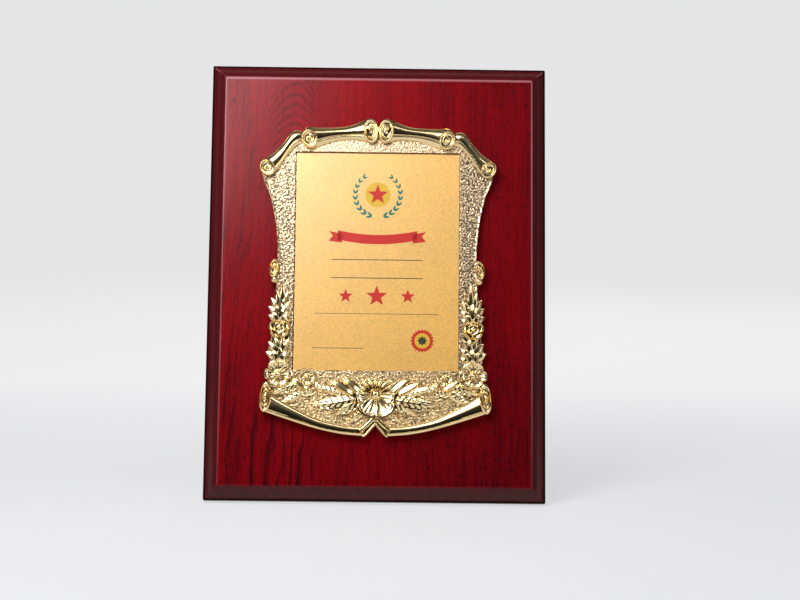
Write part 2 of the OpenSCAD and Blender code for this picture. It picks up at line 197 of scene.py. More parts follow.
@dataclass
class MeshMaker:
    """Collects closed shapes in board millimetres and makes one Blender object of them."""

    board: BoardFrame
    points: list[Point3] = field(default_factory=list)
    faces: list[tuple[int, ...]] = field(default_factory=list)

    SAME_PLACE = 1e-7

    def loft(self, rings: Sequence[Sequence[Point3]]) -> None:
        """Adds a closed solid skinned over rings that have equal numbers of points.

        Args:
            rings: Closed loops of points, each turning the same way.
        """
        first, around = len(self.points), len(rings[0])
        for ring in rings:
            self.points.extend(ring)
        for i in range(len(rings) - 1):
            for j in range(around):
                a = first + i * around + j
                b = first + i * around + (j + 1) % around
                self.faces.append((a, b, b + around, a + around))
        last = first + (len(rings) - 1) * around
        self.faces.append(tuple(range(first + around - 1, first - 1, -1)))
        self.faces.append(tuple(range(last, last + around)))

    def prism(self, outline: Sequence[Point2], low: float, high: float) -> None:
        """Adds a flat-topped solid over an outline, between two heights."""
        self.loft([[(u, v, low) for u, v in outline], [(u, v, high) for u, v in outline]])

    def mirror(self) -> None:
        """Adds the mirror image of everything so far on the other side of the middle line."""
        count = len(self.points)
        self.points.extend([(-u, v, w) for u, v, w in self.points])
        self.faces.extend([tuple(count + i for i in reversed(face)) for face in self.faces])

    def make(self, name: str, crease: float) -> Piece:
        """Makes the object.

        Args:
            name: The piece's name.
            crease: Edges bent further than this many degrees stay sharp.

        Returns:
            The new object, in the scene.
        """
        mesh = bpy.data.meshes.new(name)
        mesh.from_pydata([self.board.at(*p) for p in self.points], [], self.faces)
        work = bmesh.new()
        work.from_mesh(mesh)
        bmesh.ops.dissolve_degenerate(work, dist=self.SAME_PLACE, edges=work.edges)
        bmesh.ops.recalc_face_normals(work, faces=work.faces)
        work.to_mesh(mesh)
        work.free()
        mesh.polygons.foreach_set("use_smooth", [True] * len(mesh.polygons))
        mesh.set_sharp_from_angle(angle=math.radians(crease))
        piece = bpy.data.objects.new(name, mesh)
        bpy.context.scene.collection.objects.link(piece)
        return piece


class Graph:
    """A node tree with short ways to add and join nodes."""

    def __init__(self, tree: bpy.types.NodeTree) -> None:
        """Keeps a material's or a group's node tree."""
        self.tree = tree

    def put(self, socket: Socket, value: Value) -> None:
        """Sets an input, or links another node's output to it.

        Args:
            socket: The input.
            value: A number, a vector, a colour or an output.
        """
        if isinstance(value, Socket):
            self.tree.links.new(value, socket)
        else:
            socket.default_value = (*value, 1.0) if socket.type == "RGBA" else value

    def add(self, kind: str, inputs: dict[str | int, Value] | None = None,
            **settings: object) -> bpy.types.Node:
        """Adds a node.

        Args:
            kind: The node's type name.
            inputs: Input names or numbers, with what goes into them.
            **settings: The node's own properties.

        Returns:
            The node.
        """
        made = self.tree.nodes.new(kind)
        for name, value in settings.items():
            setattr(made, name, value)
        for key, value in (inputs or {}).items():
            self.put(made.inputs[key], value)
        return made

    def math(self, operation: str, *values: float | Socket) -> Socket:
        """The result of a Math node on some values or sockets."""
        return self.add("ShaderNodeMath", dict(enumerate(values)), operation=operation).outputs[0]

    def noise(self, vector: Socket, scale: float | Socket, detail: float) -> Socket:
        """The value of a noise texture, about 0 to 1."""
        inputs = {"Vector": vector, "Scale": scale, "Detail": detail}
        return self.add("ShaderNodeTexNoise", inputs).outputs["Fac"]

    def ramp(self, value: Socket, low: float, high: float, start: Value = 0.0, end: Value = 1.0) -> Socket:
        """A value stretched from low and high to start and end, and held there."""
        inputs = {0: value, 1: low, 2: high, 3: start, 4: end}
        return self.add("ShaderNodeMapRange", inputs).outputs[0]

    def mix(self, share: float | Socket, a: Value, b: Value) -> Socket:
        """A colour at a share of the way from a to b."""
        return self.add("ShaderNodeMix", {0: share, 6: a, 7: b}, data_type="RGBA").outputs[2]

    def blend(self, share: Socket, a: Socket, b: Socket) -> Socket:
        """A number at a share of the way from a to b."""
        return self.add("ShaderNodeMix", {0: share, 2: a, 3: b}).outputs[0]

    def stretched(self, vector: Socket, scale: Point3) -> Socket:
        """A vector with each part scaled."""
        return self.add("ShaderNodeVectorMath", {0: vector, 1: scale}, operation="MULTIPLY").outputs[0]

    def object_place(self) -> Socket:
        """Place on the object, in metres."""
        return self.add("ShaderNodeTexCoord").outputs["Object"]

    def parts(self, vector: Socket) -> bpy.types.NodeOutputs:
        """A vector's X, Y and Z."""
        return self.add("ShaderNodeSeparateXYZ", {0: vector}).outputs


class SharedEffect(Enum):
    """Effects that several finishes use, each a shader node group."""

    BOARD_PLACE = "board_place"
    MOTTLE = "mottle"
    GRAIN = "grain"


class EffectShelf:
    """Builds each shared effect once, for all materials."""

    CLOUD_SPAN = (0.3, 0.7)
    CELL_DEPTH = 0.6

    def __init__(self, board: BoardFrame) -> None:
        """Builds the groups.

        Args:
            board: The board's axes, for effects that follow the board.
        """
        self.groups = {
            SharedEffect.BOARD_PLACE: self._board_place(board),
            SharedEffect.MOTTLE: self._mottle(),
            SharedEffect.GRAIN: self._grain(),
        }

    @staticmethod
    def _group(effect: SharedEffect, inputs: dict[str, float], outputs: dict[str, str]) -> tuple:
        """A new group with its sockets.

        Args:
            effect: The effect, which names the group.
            inputs: Number inputs and their values.
            outputs: Output names and their socket types.

        Returns:
            The group's graph, the sockets of its inputs, and those of its outputs.
        """
        group = bpy.data.node_groups.new(effect.value, "ShaderNodeTree")
        for name, value in inputs.items():
            socket = group.interface.new_socket(name, in_out="INPUT", socket_type="NodeSocketFloat")
            socket.default_value = value
        for name, kind in outputs.items():
            group.interface.new_socket(name, in_out="OUTPUT", socket_type=kind)
        graph = Graph(group)
        return graph, graph.add("NodeGroupInput").outputs, graph.add("NodeGroupOutput").inputs

    def _board_place(self, board: BoardFrame) -> bpy.types.NodeTree:
        """Place on the board in millimetres, from the middle of its face.

        Args:
            board: The board's axes.

        Returns:
            The group.
        """
        graph, _, out = self._group(SharedEffect.BOARD_PLACE, {}, {"Place": "NodeSocketVector"})
        to_board = Euler((board.lean - math.pi / 2, 0, 0))
        shift = to_board.to_matrix() @ (board.origin / MM)
        mapped = graph.add("ShaderNodeMapping", {
            "Vector": graph.object_place(), "Scale": (1 / MM,) * 3, "Rotation": to_board, "Location": -shift,
        })
        graph.put(out["Place"], mapped.outputs[0])
        return graph.tree

    def _mottle(self) -> bpy.types.NodeTree:
        """Soft cloudy variation, with patches of the given size in millimetres.

        Returns:
            The group.
        """
        inputs = {"Patch": 20.0, "Low": 0.0, "High": 1.0}
        graph, given, out = self._group(SharedEffect.MOTTLE, inputs, {"Value": "NodeSocketFloat"})
        cloud = graph.noise(graph.object_place(), graph.math("DIVIDE", 1 / MM, given["Patch"]), 4.0)
        spread = graph.ramp(cloud, *self.CLOUD_SPAN)
        graph.put(out["Value"], graph.ramp(spread, 0.0, 1.0, given["Low"], given["High"]))
        return graph.tree

    def _grain(self) -> bpy.types.NodeTree:
        """Fine sandy grain, with grains of the given size in millimetres, as a value and a height.

        Returns:
            The group.
        """
        outputs = {"Value": "NodeSocketFloat", "Height": "NodeSocketFloat"}
        graph, given, out = self._group(SharedEffect.GRAIN, {"Size": 0.4}, outputs)
        place = graph.object_place()
        scale = graph.math("DIVIDE", 1 / MM, given["Size"])
        cells = graph.add("ShaderNodeTexVoronoi", {"Vector": place, "Scale": scale}).outputs
        dip = graph.math("MULTIPLY", cells["Distance"], self.CELL_DEPTH)
        graph.put(out["Height"], graph.math("SUBTRACT", graph.noise(place, scale, 2.0), dip))
        graph.put(out["Value"], graph.add("ShaderNodeSeparateColor", {0: cells["Color"]}).outputs[0])
        return graph.tree


class Paint(Graph):
    """A material in the making: its node tree, with its shader and the shared effects at hand."""

    def __init__(self, name: str, shelf: EffectShelf) -> None:
        """Starts a material.

        Args:
            name: The material's name.
            shelf: The shared effects.
        """
        self.material = bpy.data.materials.new(name)
        self.material.use_nodes = True
        super().__init__(self.material.node_tree)
        self.shader = self.tree.nodes["Principled BSDF"]
        self.shelf = shelf

    def give(self, name: str, value: Value) -> None:
        """Sets one of the shader's inputs, or links an output to it."""
        self.put(self.shader.inputs[name], value)

    def effect(self, effect: SharedEffect, **values: float) -> bpy.types.NodeOutputs:
        """The outputs of a shared effect, placed here with its own values."""
        return self.add("ShaderNodeGroup", values, node_tree=self.shelf.groups[effect]).outputs

    @cached_property
    def place(self) -> Socket:
        """Place on the board, in millimetres."""
        return self.effect(SharedEffect.BOARD_PLACE)["Place"]

    @cached_property
    def axes(self) -> bpy.types.NodeOutputs:
        """That place's parts: X across the board, Y up it and Z out of its face."""
        return self.parts(self.place)

    def bump(self, height: Socket, depth_mm: float) -> None:
        """Adds relief of a depth in millimetres from a height of about 0 to 1."""
        made = self.add("ShaderNodeBump", {"Height": height, "Distance": depth_mm * MM, "Strength": 1.0})
        self.give("Normal", made.outputs[0])


@dataclass(frozen=True)
class Finish:
    """A surface finish: its name, colour and gloss. Each kind adds its own detail.

    Attributes:
        name: The material's name.
        colour: Base colour, linear.
        roughness: Middle roughness.
    """

    name: str
    colour: Colour
    roughness: float

    def build(self, shelf: EffectShelf) -> bpy.types.Material:
        """Makes the material.

        Args:
            shelf: The shared effects.

        Returns:
            The material, with its shader in the material itself.
        """
        paint = Paint(self.name, shelf)
        paint.give("Base Color", self.colour)
        paint.give("Roughness", self.roughness)
        self.detail(paint)
        return paint.material

    def detail(self, paint: Paint) -> None:
        """Adds this kind of finish's own detail."""

    def shaded(self, paint: Paint, share: Socket, tone: float) -> Socket:
        """The colour, darkened by a share down to tone times itself."""
        return paint.mix(share, self.colour, tuple(c * tone for c in self.colour))


@dataclass(frozen=True)
class MetalFinish(Finish):
    """Plated, cast or sheet metal.

    Attributes:
        spread: How far the roughness varies over the surface.
        patch_mm: Size of the tone's patches.
        grain_mm: Size of the surface grain.
        grain_depth: Depth of the surface grain, in millimetres.
        tone: Darkest share of the colour in the patches.
    """

    spread: float = 0.05
    patch_mm: float = 12.0
    grain_mm: float = 0.5
    grain_depth: float = 0.01
    tone: float = 0.85

    def detail(self, paint: Paint) -> None:
        """Adds patches of tone and gloss, and grain.

        Args:
            paint: The material in the making.
        """
        paint.give("Metallic", 1.0)
        patches = paint.effect(SharedEffect.MOTTLE, Patch=self.patch_mm)["Value"]
        paint.give("Base Color", self.toned(paint, patches))
        low, high = self.roughness - self.spread, self.roughness + self.spread
        gloss = paint.effect(SharedEffect.MOTTLE, Patch=self.patch_mm / 2, Low=low, High=high)
        paint.give("Roughness", gloss["Value"])
        paint.bump(paint.effect(SharedEffect.GRAIN, Size=self.grain_mm)["Height"], self.grain_depth)

    def toned(self, paint: Paint, patches: Socket) -> Socket:
        """The colour, a little darker in patches."""
        return self.shaded(paint, patches, self.tone)


@dataclass(frozen=True)
class StippledFinish(MetalFinish):
    """The casting's ground, with dark specks of painted shade and painted dark reflection standing in for its
    pits, and a warmer tone at its foot.

    Attributes:
        speck_mm: Spacing of the specks.
        speck_span: Noise values between which a speck comes in.
        speck_shade_share: How dark the painted shade specks are, of the darkest tone.
        patch_share: How dark the patches are, of the darkest tone.
        crowd: How far the specks crowd at the sides.
        calm: How much fewer they are in the middle, by height on the board.
        middle: Distances from the middle line over which the calmer middle ends.
        foot: Colour at the foot.
        foot_span: Heights on the board over which the foot's colour comes in.
    """

    speck_mm: float = 1.25
    speck_span: Span = (0.53, 0.61)
    speck_shade_share: float = 0.9
    patch_share: float = 0.1
    crowd: float = 0.07
    calm: Fade = (-90.0, 86.0, 0.085, 0.14)
    middle: Span = (46.0, 60.0)
    foot: Colour = (0.96, 0.68, 0.34)
    foot_span: Span = (-58.0, -68.0)

    def toned(self, paint: Paint, patches: Socket) -> Socket:
        """The colour with its specks of painted pit shade, which are fewest along the top.

        Args:
            paint: The material in the making.
            patches: Soft patches of tone.

        Returns:
            The colour.
        """
        middle = paint.ramp(paint.math("ABSOLUTE", paint.axes["X"]), *self.middle, 1.0, 0.0)
        calm = paint.math("MULTIPLY", middle, paint.ramp(paint.axes["Y"], *self.calm))
        crowd = paint.math("SUBTRACT", self.crowd, calm)
        # Specks of painted shade and painted dark reflection, standing in for the stipple's pits.
        specks = paint.math("ADD", paint.noise(paint.place, 1 / self.speck_mm, 1.0), crowd)
        faint = paint.math("MULTIPLY", patches, self.patch_share)
        share = paint.math("MULTIPLY_ADD", paint.ramp(specks, *self.speck_span), self.speck_shade_share, faint)
        body = paint.mix(paint.ramp(paint.axes["Y"], *self.foot_span), self.colour, self.foot)
        return paint.mix(share, body, tuple(c * self.tone for c in self.colour))


@dataclass(frozen=True)
class GrainedFinish(Finish):
    """A finish with fine grains of varied tone and relief, and soft patches.

    Attributes:
        grain_mm: Size of the grains.
        grain_depth: Depth of the grains, in millimetres.
        grain_share: How far the grains' tones differ.
        patch_mm: Size of the soft patches.
        patch_span: Darkness of the palest and the darkest patches.
        tone: Darkest share of the colour.
    """

    grain_mm: float = 0.6
    grain_depth: float = 0.05
    grain_share: float = 0.4
    patch_mm: float = 25.0
    patch_span: Span = (0.0, 0.5)
    tone: float = 0.55

    def detail(self, paint: Paint) -> None:
        """Adds the grains' tones and relief.

        Args:
            paint: The material in the making.
        """
        low, high = self.patch_span
        grain = paint.effect(SharedEffect.GRAIN, Size=self.grain_mm)
        patches = paint.effect(SharedEffect.MOTTLE, Patch=self.patch_mm, Low=low, High=high)
        share = paint.math("MULTIPLY_ADD", grain["Value"], self.grain_share, patches["Value"])
        paint.give("Base Color", self.shaded(paint, share, self.tone))
        paint.bump(grain["Height"], self.grain_depth)


@dataclass(frozen=True)
class SandGoldFinish(GrainedFinish):
    """Sand-textured gold plate under a clear film.

    Attributes:
        metallic: How far the plate shines as bare metal.
        film: Weight of the clear film.
        film_index: The film's index of refraction.
        film_roughness: The film's roughness.
    """

    grain_mm: float = 0.7
    grain_share: float = 0.75
    patch_mm: float = 30.0
    patch_span: Span = (-0.15, 0.1)
    tone: float = 0.62
    metallic: float = 0.3
    film: float = 1.0
    film_index: float = 2.5
    film_roughness: float = 0.4

    def detail(self, paint: Paint) -> None:
        """Adds the sand's grains and the film.

        Args:
            paint: The material in the making.
        """
        super().detail(paint)
        paint.give("Metallic", self.metallic)
        paint.give("Coat Weight", self.film)
        paint.give("Coat IOR", self.film_index)
        paint.give("Coat Roughness", self.film_roughness)


@dataclass(frozen=True)
class LacquerFinish(Finish):
    """Dark satin lacquer over fibreboard, with faint streaks.

    Attributes:
        shine: Weight of the clear coat.
        body_shine: Strength of the shine under the coat.
        streaks: Streaks to the millimetre across, up and out of the board.
        streak_span: Noise values between which a streak comes in.
        tone: Darkest share of the colour in the streaks.
        peel: Lumps of the orange peel to the millimetre.
        peel_depth: Depth of the orange peel, in millimetres.
    """

    shine: float = 0.4
    body_shine: float = 0.05
    streaks: Point3 = (0.25, 0.02, 0.25)
    streak_span: Span = (0.35, 0.7)
    tone: float = 0.7
    peel: float = 0.35
    peel_depth: float = 0.03

    def detail(self, paint: Paint) -> None:
        """Adds streaks of tone, the clear coat, and a slight orange-peel relief.

        Args:
            paint: The material in the making.
        """
        paint.give("Specular IOR Level", self.body_shine)
        paint.give("Coat Weight", self.shine)
        paint.give("Coat Roughness", self.roughness)
        paint.give("Base Color", self.body(paint))
        paint.bump(paint.noise(paint.place, self.peel, 2.0), self.peel_depth)

    def body(self, paint: Paint) -> Socket:
        """The streaked colour of the lacquer."""
        streaks = paint.noise(paint.stretched(paint.place, self.streaks), 1.0, 5.0)
        return self.shaded(paint, paint.ramp(streaks, *self.streak_span), self.tone)


@dataclass(frozen=True)
class BevelLacquerFinish(LacquerFinish):
    """The board's lacquer: glossy on the bevel, matt near-black on its edges, which at the foot is painted
    shade, and with painted highlights at the upper mitres.

    Attributes:
        painted_highlight: Colour of the highlight painted along the upper mitres.
        mitre: Distances from the mitre's line over which the painted highlight ends.
        mitre_reach: Distances from the top edge over which the painted highlight ends.
        edge: Near-black of the board's matt edges and the bevel's foot: edge paint which at the board's foot
            is also painted shade for the shadowed gap under it.
        knee: Height of the bevel's outer edge above the face.
        gloss_span: Heights above the knee over which the gloss and the lacquer's own colour start, the
            near-black edge colour lying below.
        half: Half the board's width and height.
    """

    # Painted highlight: a pale colour at the upper mitres stands in for light caught on their eased corners.
    painted_highlight: Colour = (0.26, 0.1, 0.095)
    mitre: Span = (0.15, 0.6)
    mitre_reach: Span = (3.0, 8.0)
    # Near-black edge paint, which at the board's foot also stands in as painted shade for the gap under the
    # board.
    edge: Colour = (0.016, 0.0018, 0.0025)
    knee: float = -8.0
    gloss_span: Span = (0.7, 1.0)
    half: Point2 = (115.0, 150.0)

    def detail(self, paint: Paint) -> None:
        """Adds the lacquer, with its clear coat on the bevel alone."""
        super().detail(paint)
        paint.give("Coat Weight", paint.math("MULTIPLY", self.on_bevel(paint), self.shine))

    def on_bevel(self, paint: Paint) -> Socket:
        """1 on the bevel, and 0 at its foot and on the board's edges, where the near-black edge colour and
        painted shade lie.
        """
        low, high = self.gloss_span
        return paint.ramp(paint.axes["Z"], self.knee + low, self.knee + high)

    def body(self, paint: Paint) -> Socket:
        """The streaked colour with painted highlights at the upper mitres, and the near-black edges, which at
        the board's foot are painted shade.

        Args:
            paint: The material in the making.

        Returns:
            The colour.
        """
        # Mask of the painted highlight along the upper mitres, near the top edge.
        from_side = paint.math("SUBTRACT", self.half[0], paint.math("ABSOLUTE", paint.axes["X"]))
        from_top = paint.math("SUBTRACT", self.half[1], paint.axes["Y"])
        off = paint.math("ABSOLUTE", paint.math("SUBTRACT", from_side, from_top))
        near = paint.ramp(off, *self.mitre, 1.0, 0.0)
        mitre = paint.math("MULTIPLY", near, paint.ramp(from_top, *self.mitre_reach, 1.0, 0.0))
        body = paint.mix(mitre, super().body(paint), self.painted_highlight)
        # Near-black edges and bevel foot: edge paint, and painted shade at the foot.
        return paint.mix(self.on_bevel(paint), self.edge, body)


@dataclass(frozen=True)
class Streak:
    """Noise drawn out up the board.

    Attributes:
        across: Changes to the millimetre across the board.
        along: Changes to the millimetre up the board.
        detail: Layers of finer noise.
        weight: How much it counts, as a share or in millimetres.
        span: Noise values between which a streak comes in.
        least: What is left between the streaks.
    """

    across: float
    along: float
    detail: float
    weight: float = 1.0
    span: Span = (0.0, 1.0)
    least: float = 0.0

    def noise(self, paint: Paint) -> Socket:
        """The plain noise, about 0 to 1."""
        return paint.noise(paint.stretched(paint.place, (self.across, self.along, 0.0)), 1.0, self.detail)

    def mask(self, paint: Paint) -> Socket:
        """1 in the streaks, and the least between them."""
        return paint.ramp(self.noise(paint), *self.span, self.least, 1.0)

    def sway(self, paint: Paint, height: Socket) -> Socket:
        """A height moved by the noise times its weight."""
        return paint.math("MULTIPLY_ADD", self.noise(paint), self.weight, height)


@dataclass(frozen=True)
class WoodSheetFinish(Finish):
    """Glossy rosewood-grain sheet: arches at the upper left and upright bands elsewhere, with painted shade
    to the right, the foot and the upper right corner, and a painted highlight along its edge.

    Attributes:
        dark: Colour of the grain lines.
        darkest: The most that the layers together darken the wood.
        figure: How much the arches and bands darken it.
        arch_u: Middle of the arches across the board, in millimetres.
        arch_bow: How quickly the arches fall away from their middle, per millimetre.
        arch_span: Distances from that middle over which the arches end.
        arch_rise: Heights on the board over which they come in.
        ring: Distance between the arches.
        band: Distance between the upright bands.
        fine: Distance and strength of the finer bands, as shares of the thick ones.
        slant: How far the bands lean, as a share of their length.
        thick_span: Heights on the board over which the bands grow thick.
        band_fade: How the bands fade to the right.
        right_shade: Painted shade that darkens the colour to the right.
        foot_shade: Painted shade that darkens the colour to the foot.
        corner: Places across and up over which the painted shade of the upper right corner comes in.
        corner_shade: How much the painted shade darkens that corner.
        pore_depth: Depth of the pores, in millimetres.
        gloss: Strength of the sheet's shine.
        painted_highlight: Colour of the highlight painted along the sheet's rounded edge.
        highlight_top: Distances from the top edge between which the highlight is painted.
        highlight_side: Distances from the side edges between which the highlight is painted.
        highlight_fade: How the painted highlight of the sides fades to the foot.
        half: Half the sheet's width and height.
    """

    dark: Colour = (0.02, 0.0008, 0.003)
    darkest: float = 0.95
    figure: float = 0.75
    arch_u: float = -59.0
    arch_bow: float = 0.065
    arch_span: Span = (16.0, 30.0)
    arch_rise: Span = (20.0, 70.0)
    ring: float = 6.5
    band: float = 8.0
    fine: Span = (0.55, 0.75)
    slant: float = 0.08
    thick_span: Span = (-40.0, -110.0)
    band_fade: Fade = (-70.0, 0.0, 1.0, 0.22)
    # Painted shade: these ramps darken the wood toward the right, the foot and the upper right corner.
    right_shade: Fade = (-50.0, 115.0, 0.0, 0.22)
    foot_shade: Fade = (110.0, -150.0, 0.0, 0.27)
    corner: tuple[Span, Span] = ((0.0, 90.0), (40.0, 125.0))
    corner_shade: float = 0.16
    pore_depth: float = 0.006
    gloss: float = 0.2
    # Painted highlight along the sheet's rounded edge, standing in for light on its arris.
    painted_highlight: Colour = (0.34, 0.1, 0.115)
    highlight_top: Span = (1.9, 1.2)
    highlight_side: Span = (1.0, 0.5)
    highlight_fade: Fade = (-130.0, 90.0, 0.15, 0.8)
    half: Point2 = (105.5, 140.5)

    CLOUDS = Streak(0.05, 0.012, 3.0, weight=0.22, span=(0.35, 0.7))
    STREAKS = Streak(0.8, 0.02, 4.0, weight=0.26, span=(0.42, 0.72))
    PORES = Streak(1.7, 0.2, 2.0, weight=0.42, span=(0.54, 0.68))
    ARCH_SWAY = Streak(0.035, 0.015, 2.0, weight=14.0)
    ARCH_RIPPLE = Streak(0.3, 0.05, 2.0, weight=2.0)
    ARCH_STRENGTH = Streak(0.12, 0.02, 2.0, span=(0.3, 0.65), least=0.35)
    BAND_SWAY = Streak(0.04, 0.01, 3.0, weight=30.0)
    BAND_RIPPLE = Streak(0.25, 0.03, 2.0, weight=3.0)
    BAND_STRENGTH = Streak(0.07, 0.009, 2.0, span=(0.42, 0.58), least=0.12)

    def detail(self, paint: Paint) -> None:
        """Adds arches, bands, streaks and pores, the painted shade, and the painted highlight along the edge.

        Args:
            paint: The material in the making.
        """
        paint.give("Specular IOR Level", self.gloss)
        figure = paint.blend(self.arch_zone(paint), self.bands(paint), self.arches(paint))
        # The painted shading adds to the figure's darkening of the wood.
        share = paint.math("MULTIPLY_ADD", figure, self.figure, self.painted_shading(paint))
        masks = {streak: streak.mask(paint) for streak in (self.CLOUDS, self.STREAKS, self.PORES)}
        for streak, mask in masks.items():
            share = paint.math("MULTIPLY_ADD", mask, streak.weight, share)
        colour = paint.mix(paint.math("MINIMUM", share, self.darkest), self.colour, self.dark)
        # Painted highlight along the sheet's edge.
        paint.give("Base Color", paint.mix(self.edge(paint), colour, self.painted_highlight))
        paint.bump(paint.math("SUBTRACT", 1.0, masks[self.PORES]), self.pore_depth)

    def painted_shading(self, paint: Paint) -> Socket:
        """Painted shade that darkens the colour at the right, at the foot and in the upper right corner.

        Args:
            paint: The material in the making.

        Returns:
            A share of painted shade that darkens the wood.
        """
        u, v = paint.axes["X"], paint.axes["Y"]
        right, foot = paint.ramp(u, *self.right_shade), paint.ramp(v, *self.foot_shade)
        across, up = self.corner
        corner = paint.math("MULTIPLY", paint.ramp(u, *across), paint.ramp(v, *up))
        return paint.math("MULTIPLY_ADD", corner, self.corner_shade, paint.math("ADD", right, foot))

    def edge(self, paint: Paint) -> Socket:
        """Where the highlight is painted along the sheet's rounded edge, broad along the top and thin down
        the sides.

        Args:
            paint: The material in the making.

        Returns:
            1 where the highlight is painted.
        """
        half_w, half_h = self.half
        out, v = paint.math("ABSOLUTE", paint.axes["X"]), paint.axes["Y"]
        top = paint.ramp(v, *(half_h - inset for inset in self.highlight_top))
        side = paint.ramp(out, *(half_w - inset for inset in self.highlight_side))
        side = paint.math("MULTIPLY", side, paint.ramp(v, *self.highlight_fade))
        return paint.math("MAXIMUM", top, side)

    @staticmethod
    def lines(paint: Paint, height: Socket, spacing: float, width: float) -> Socket:
        """Lines that start sharp and fade, at even steps of a height."""
        turn = paint.math("FRACT", paint.math("DIVIDE", height, spacing))
        return paint.math("POWER", paint.ramp(turn, 0.0, width, 1.0, 0.0), 1.7)

    def arch_zone(self, paint: Paint) -> Socket:
        """1 where the arches show.

        Args:
            paint: The material in the making.

        Returns:
            The zone.
        """
        off = paint.math("ABSOLUTE", paint.math("SUBTRACT", paint.axes["X"], self.arch_u))
        beside = paint.ramp(off, *self.arch_span, 1.0, 0.0)
        return paint.math("MULTIPLY", beside, paint.ramp(paint.axes["Y"], *self.arch_rise))

    def arches(self, paint: Paint) -> Socket:
        """The arches, one over the other.

        Args:
            paint: The material in the making.

        Returns:
            1 on the lines.
        """
        across = paint.math("SUBTRACT", paint.axes["X"], self.arch_u)
        bow = paint.math("MULTIPLY", across, across)
        height = paint.math("MULTIPLY_ADD", bow, self.arch_bow, paint.axes["Y"])
        height = self.ARCH_RIPPLE.sway(paint, self.ARCH_SWAY.sway(paint, height))
        lines = self.lines(paint, height, self.ring, 0.42)
        return paint.math("MULTIPLY", lines, self.ARCH_STRENGTH.mask(paint))

    def bands(self, paint: Paint) -> Socket:
        """Nearly upright bands, strongest at the left and thickest at its foot.

        Args:
            paint: The material in the making.

        Returns:
            1 on the lines.
        """
        u, v = paint.axes["X"], paint.axes["Y"]
        height = paint.math("MULTIPLY_ADD", v, -self.slant, u)
        height = self.BAND_RIPPLE.sway(paint, self.BAND_SWAY.sway(paint, height))
        spacing, strength = self.fine
        fine = paint.math("MULTIPLY", self.lines(paint, height, self.band * spacing, 0.5), strength)
        thick = self.lines(paint, height, self.band, 0.6)
        lines = paint.blend(paint.ramp(v, *self.thick_span), fine, thick)
        present = self.BAND_STRENGTH.mask(paint)
        side = paint.ramp(u, *self.band_fade)
        return paint.math("MULTIPLY", lines, paint.math("MULTIPLY", present, side))


@dataclass(frozen=True)
class SoftFinish(GrainedFinish):
    """Matt flock, rubber, foam or film, with the given weight of fabric sheen."""

    sheen: float = 0.0

    def detail(self, paint: Paint) -> None:
        """Adds the grain and the sheen."""
        super().detail(paint)
        paint.give("Sheen Weight", self.sheen)


@dataclass(frozen=True)
class InkFinish(GrainedFinish):
    """Printed ink that shows a little of the sandy plate under it."""

    grain_mm: float = 0.34
    grain_depth: float = 0.02
    grain_share: float = 0.5
    patch_span: Span = (0.0, 0.0)
    tone: float = 0.6


class Finishes(Enum):
    """Every finish on the plaque."""

    LACQUER = BevelLacquerFinish("maroon_lacquer", (0.084, 0.0034, 0.0055), 0.25)
    WOOD_FACE = WoodSheetFinish("rosewood_sheet", (0.29, 0.0004, 0.004), 0.25)
    LEG_LACQUER = LacquerFinish("leg_lacquer", (0.04, 0.0035, 0.005), 0.3)
    FLOCK = SoftFinish("black_flock", (0.02, 0.019, 0.019), 0.95, grain_mm=0.5, grain_depth=0.12, sheen=0.25)
    GILT = MetalFinish("bright_gilt", (0.89, 0.69, 0.37), 0.13, spread=0.04, grain_mm=0.7, grain_depth=0.006)
    # The stipple's tone sets how dark its painted pit-shade specks are.
    STIPPLE = StippledFinish(
        "stippled_gilt", (0.84, 0.62, 0.39), 0.36, spread=0.06, patch_mm=4.0, grain_mm=0.8, grain_depth=0.12,
        tone=0.16,
    )
    SAND_GOLD = SandGoldFinish("sand_gold", (0.94, 0.485, 0.014), 0.5)
    ZINC = MetalFinish(
        "zinc_plate", (0.52, 0.53, 0.55), 0.34, spread=0.1, patch_mm=5.0, grain_depth=0.015, tone=0.7,
    )
    PASSIVATED = MetalFinish("yellow_zinc", (0.52, 0.47, 0.33), 0.3, spread=0.1, patch_mm=2.5, tone=0.75)
    RUBBER = SoftFinish("black_rubber", (0.016, 0.016, 0.016), 0.75)
    FOAM = SoftFinish("white_foam", (0.72, 0.71, 0.66), 0.9, grain_mm=0.8, grain_depth=0.1)
    FILM = SoftFinish("adhesive_film", (0.7, 0.68, 0.6), 0.4, grain_mm=1.5, grain_depth=0.01)
    RED_INK = InkFinish("red_ink", (0.62, 0.016, 0.008), 0.45)
    BLACK_INK = InkFinish("black_ink", (0.03, 0.022, 0.016), 0.5)
    TEAL_INK = InkFinish("teal_ink", (0.008, 0.19, 0.16), 0.45)
    YELLOW_INK = InkFinish("yellow_ink", (0.75, 0.46, 0.03), 0.45)


class Dresser:
    """Builds each material when it is first needed and puts pieces on their bodies."""

    def __init__(self, shelf: EffectShelf, nodes: dict[str, Piece]) -> None:
        """Keeps the shared effects, and the frame's solids by name."""
        self.shelf, self.nodes = shelf, nodes
        self.made: dict[Finishes, bpy.types.Material] = {}

    def paint(self, piece: Piece, finish: Finishes) -> None:
        """Gives a piece one finish all over.

        Args:
            piece: The piece.
            finish: Its finish.
        """
        if finish not in self.made:
            self.made[finish] = finish.value.build(self.shelf)
        piece.data.materials.clear()
        piece.data.materials.append(self.made[finish])

    def paint_node(self, name: str, finish: Finishes) -> None:
        """Gives one of the frame's solids a finish all over."""
        self.paint(self.nodes[name], finish)
        LOG.info("%s: %s", name, finish.value.name)

    def settle(self, piece: Piece, finish: Finishes, slot: str, body: str, *stands_for: str) -> None:
        """Paints a new piece, puts it on its body and hides the nodes that it stands for.

        Args:
            piece: The piece.
            finish: Its finish.
            slot: The record's material slot; not used.
            body: The body it rides on.
            *stands_for: Nodes that the piece replaces.
        """
        self.paint(piece, finish)
        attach(piece, body)
        if stands_for:
            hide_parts(*stands_for)
        LOG.info("%s: %d faces, on %s", piece.name, len(piece.data.polygons), body)


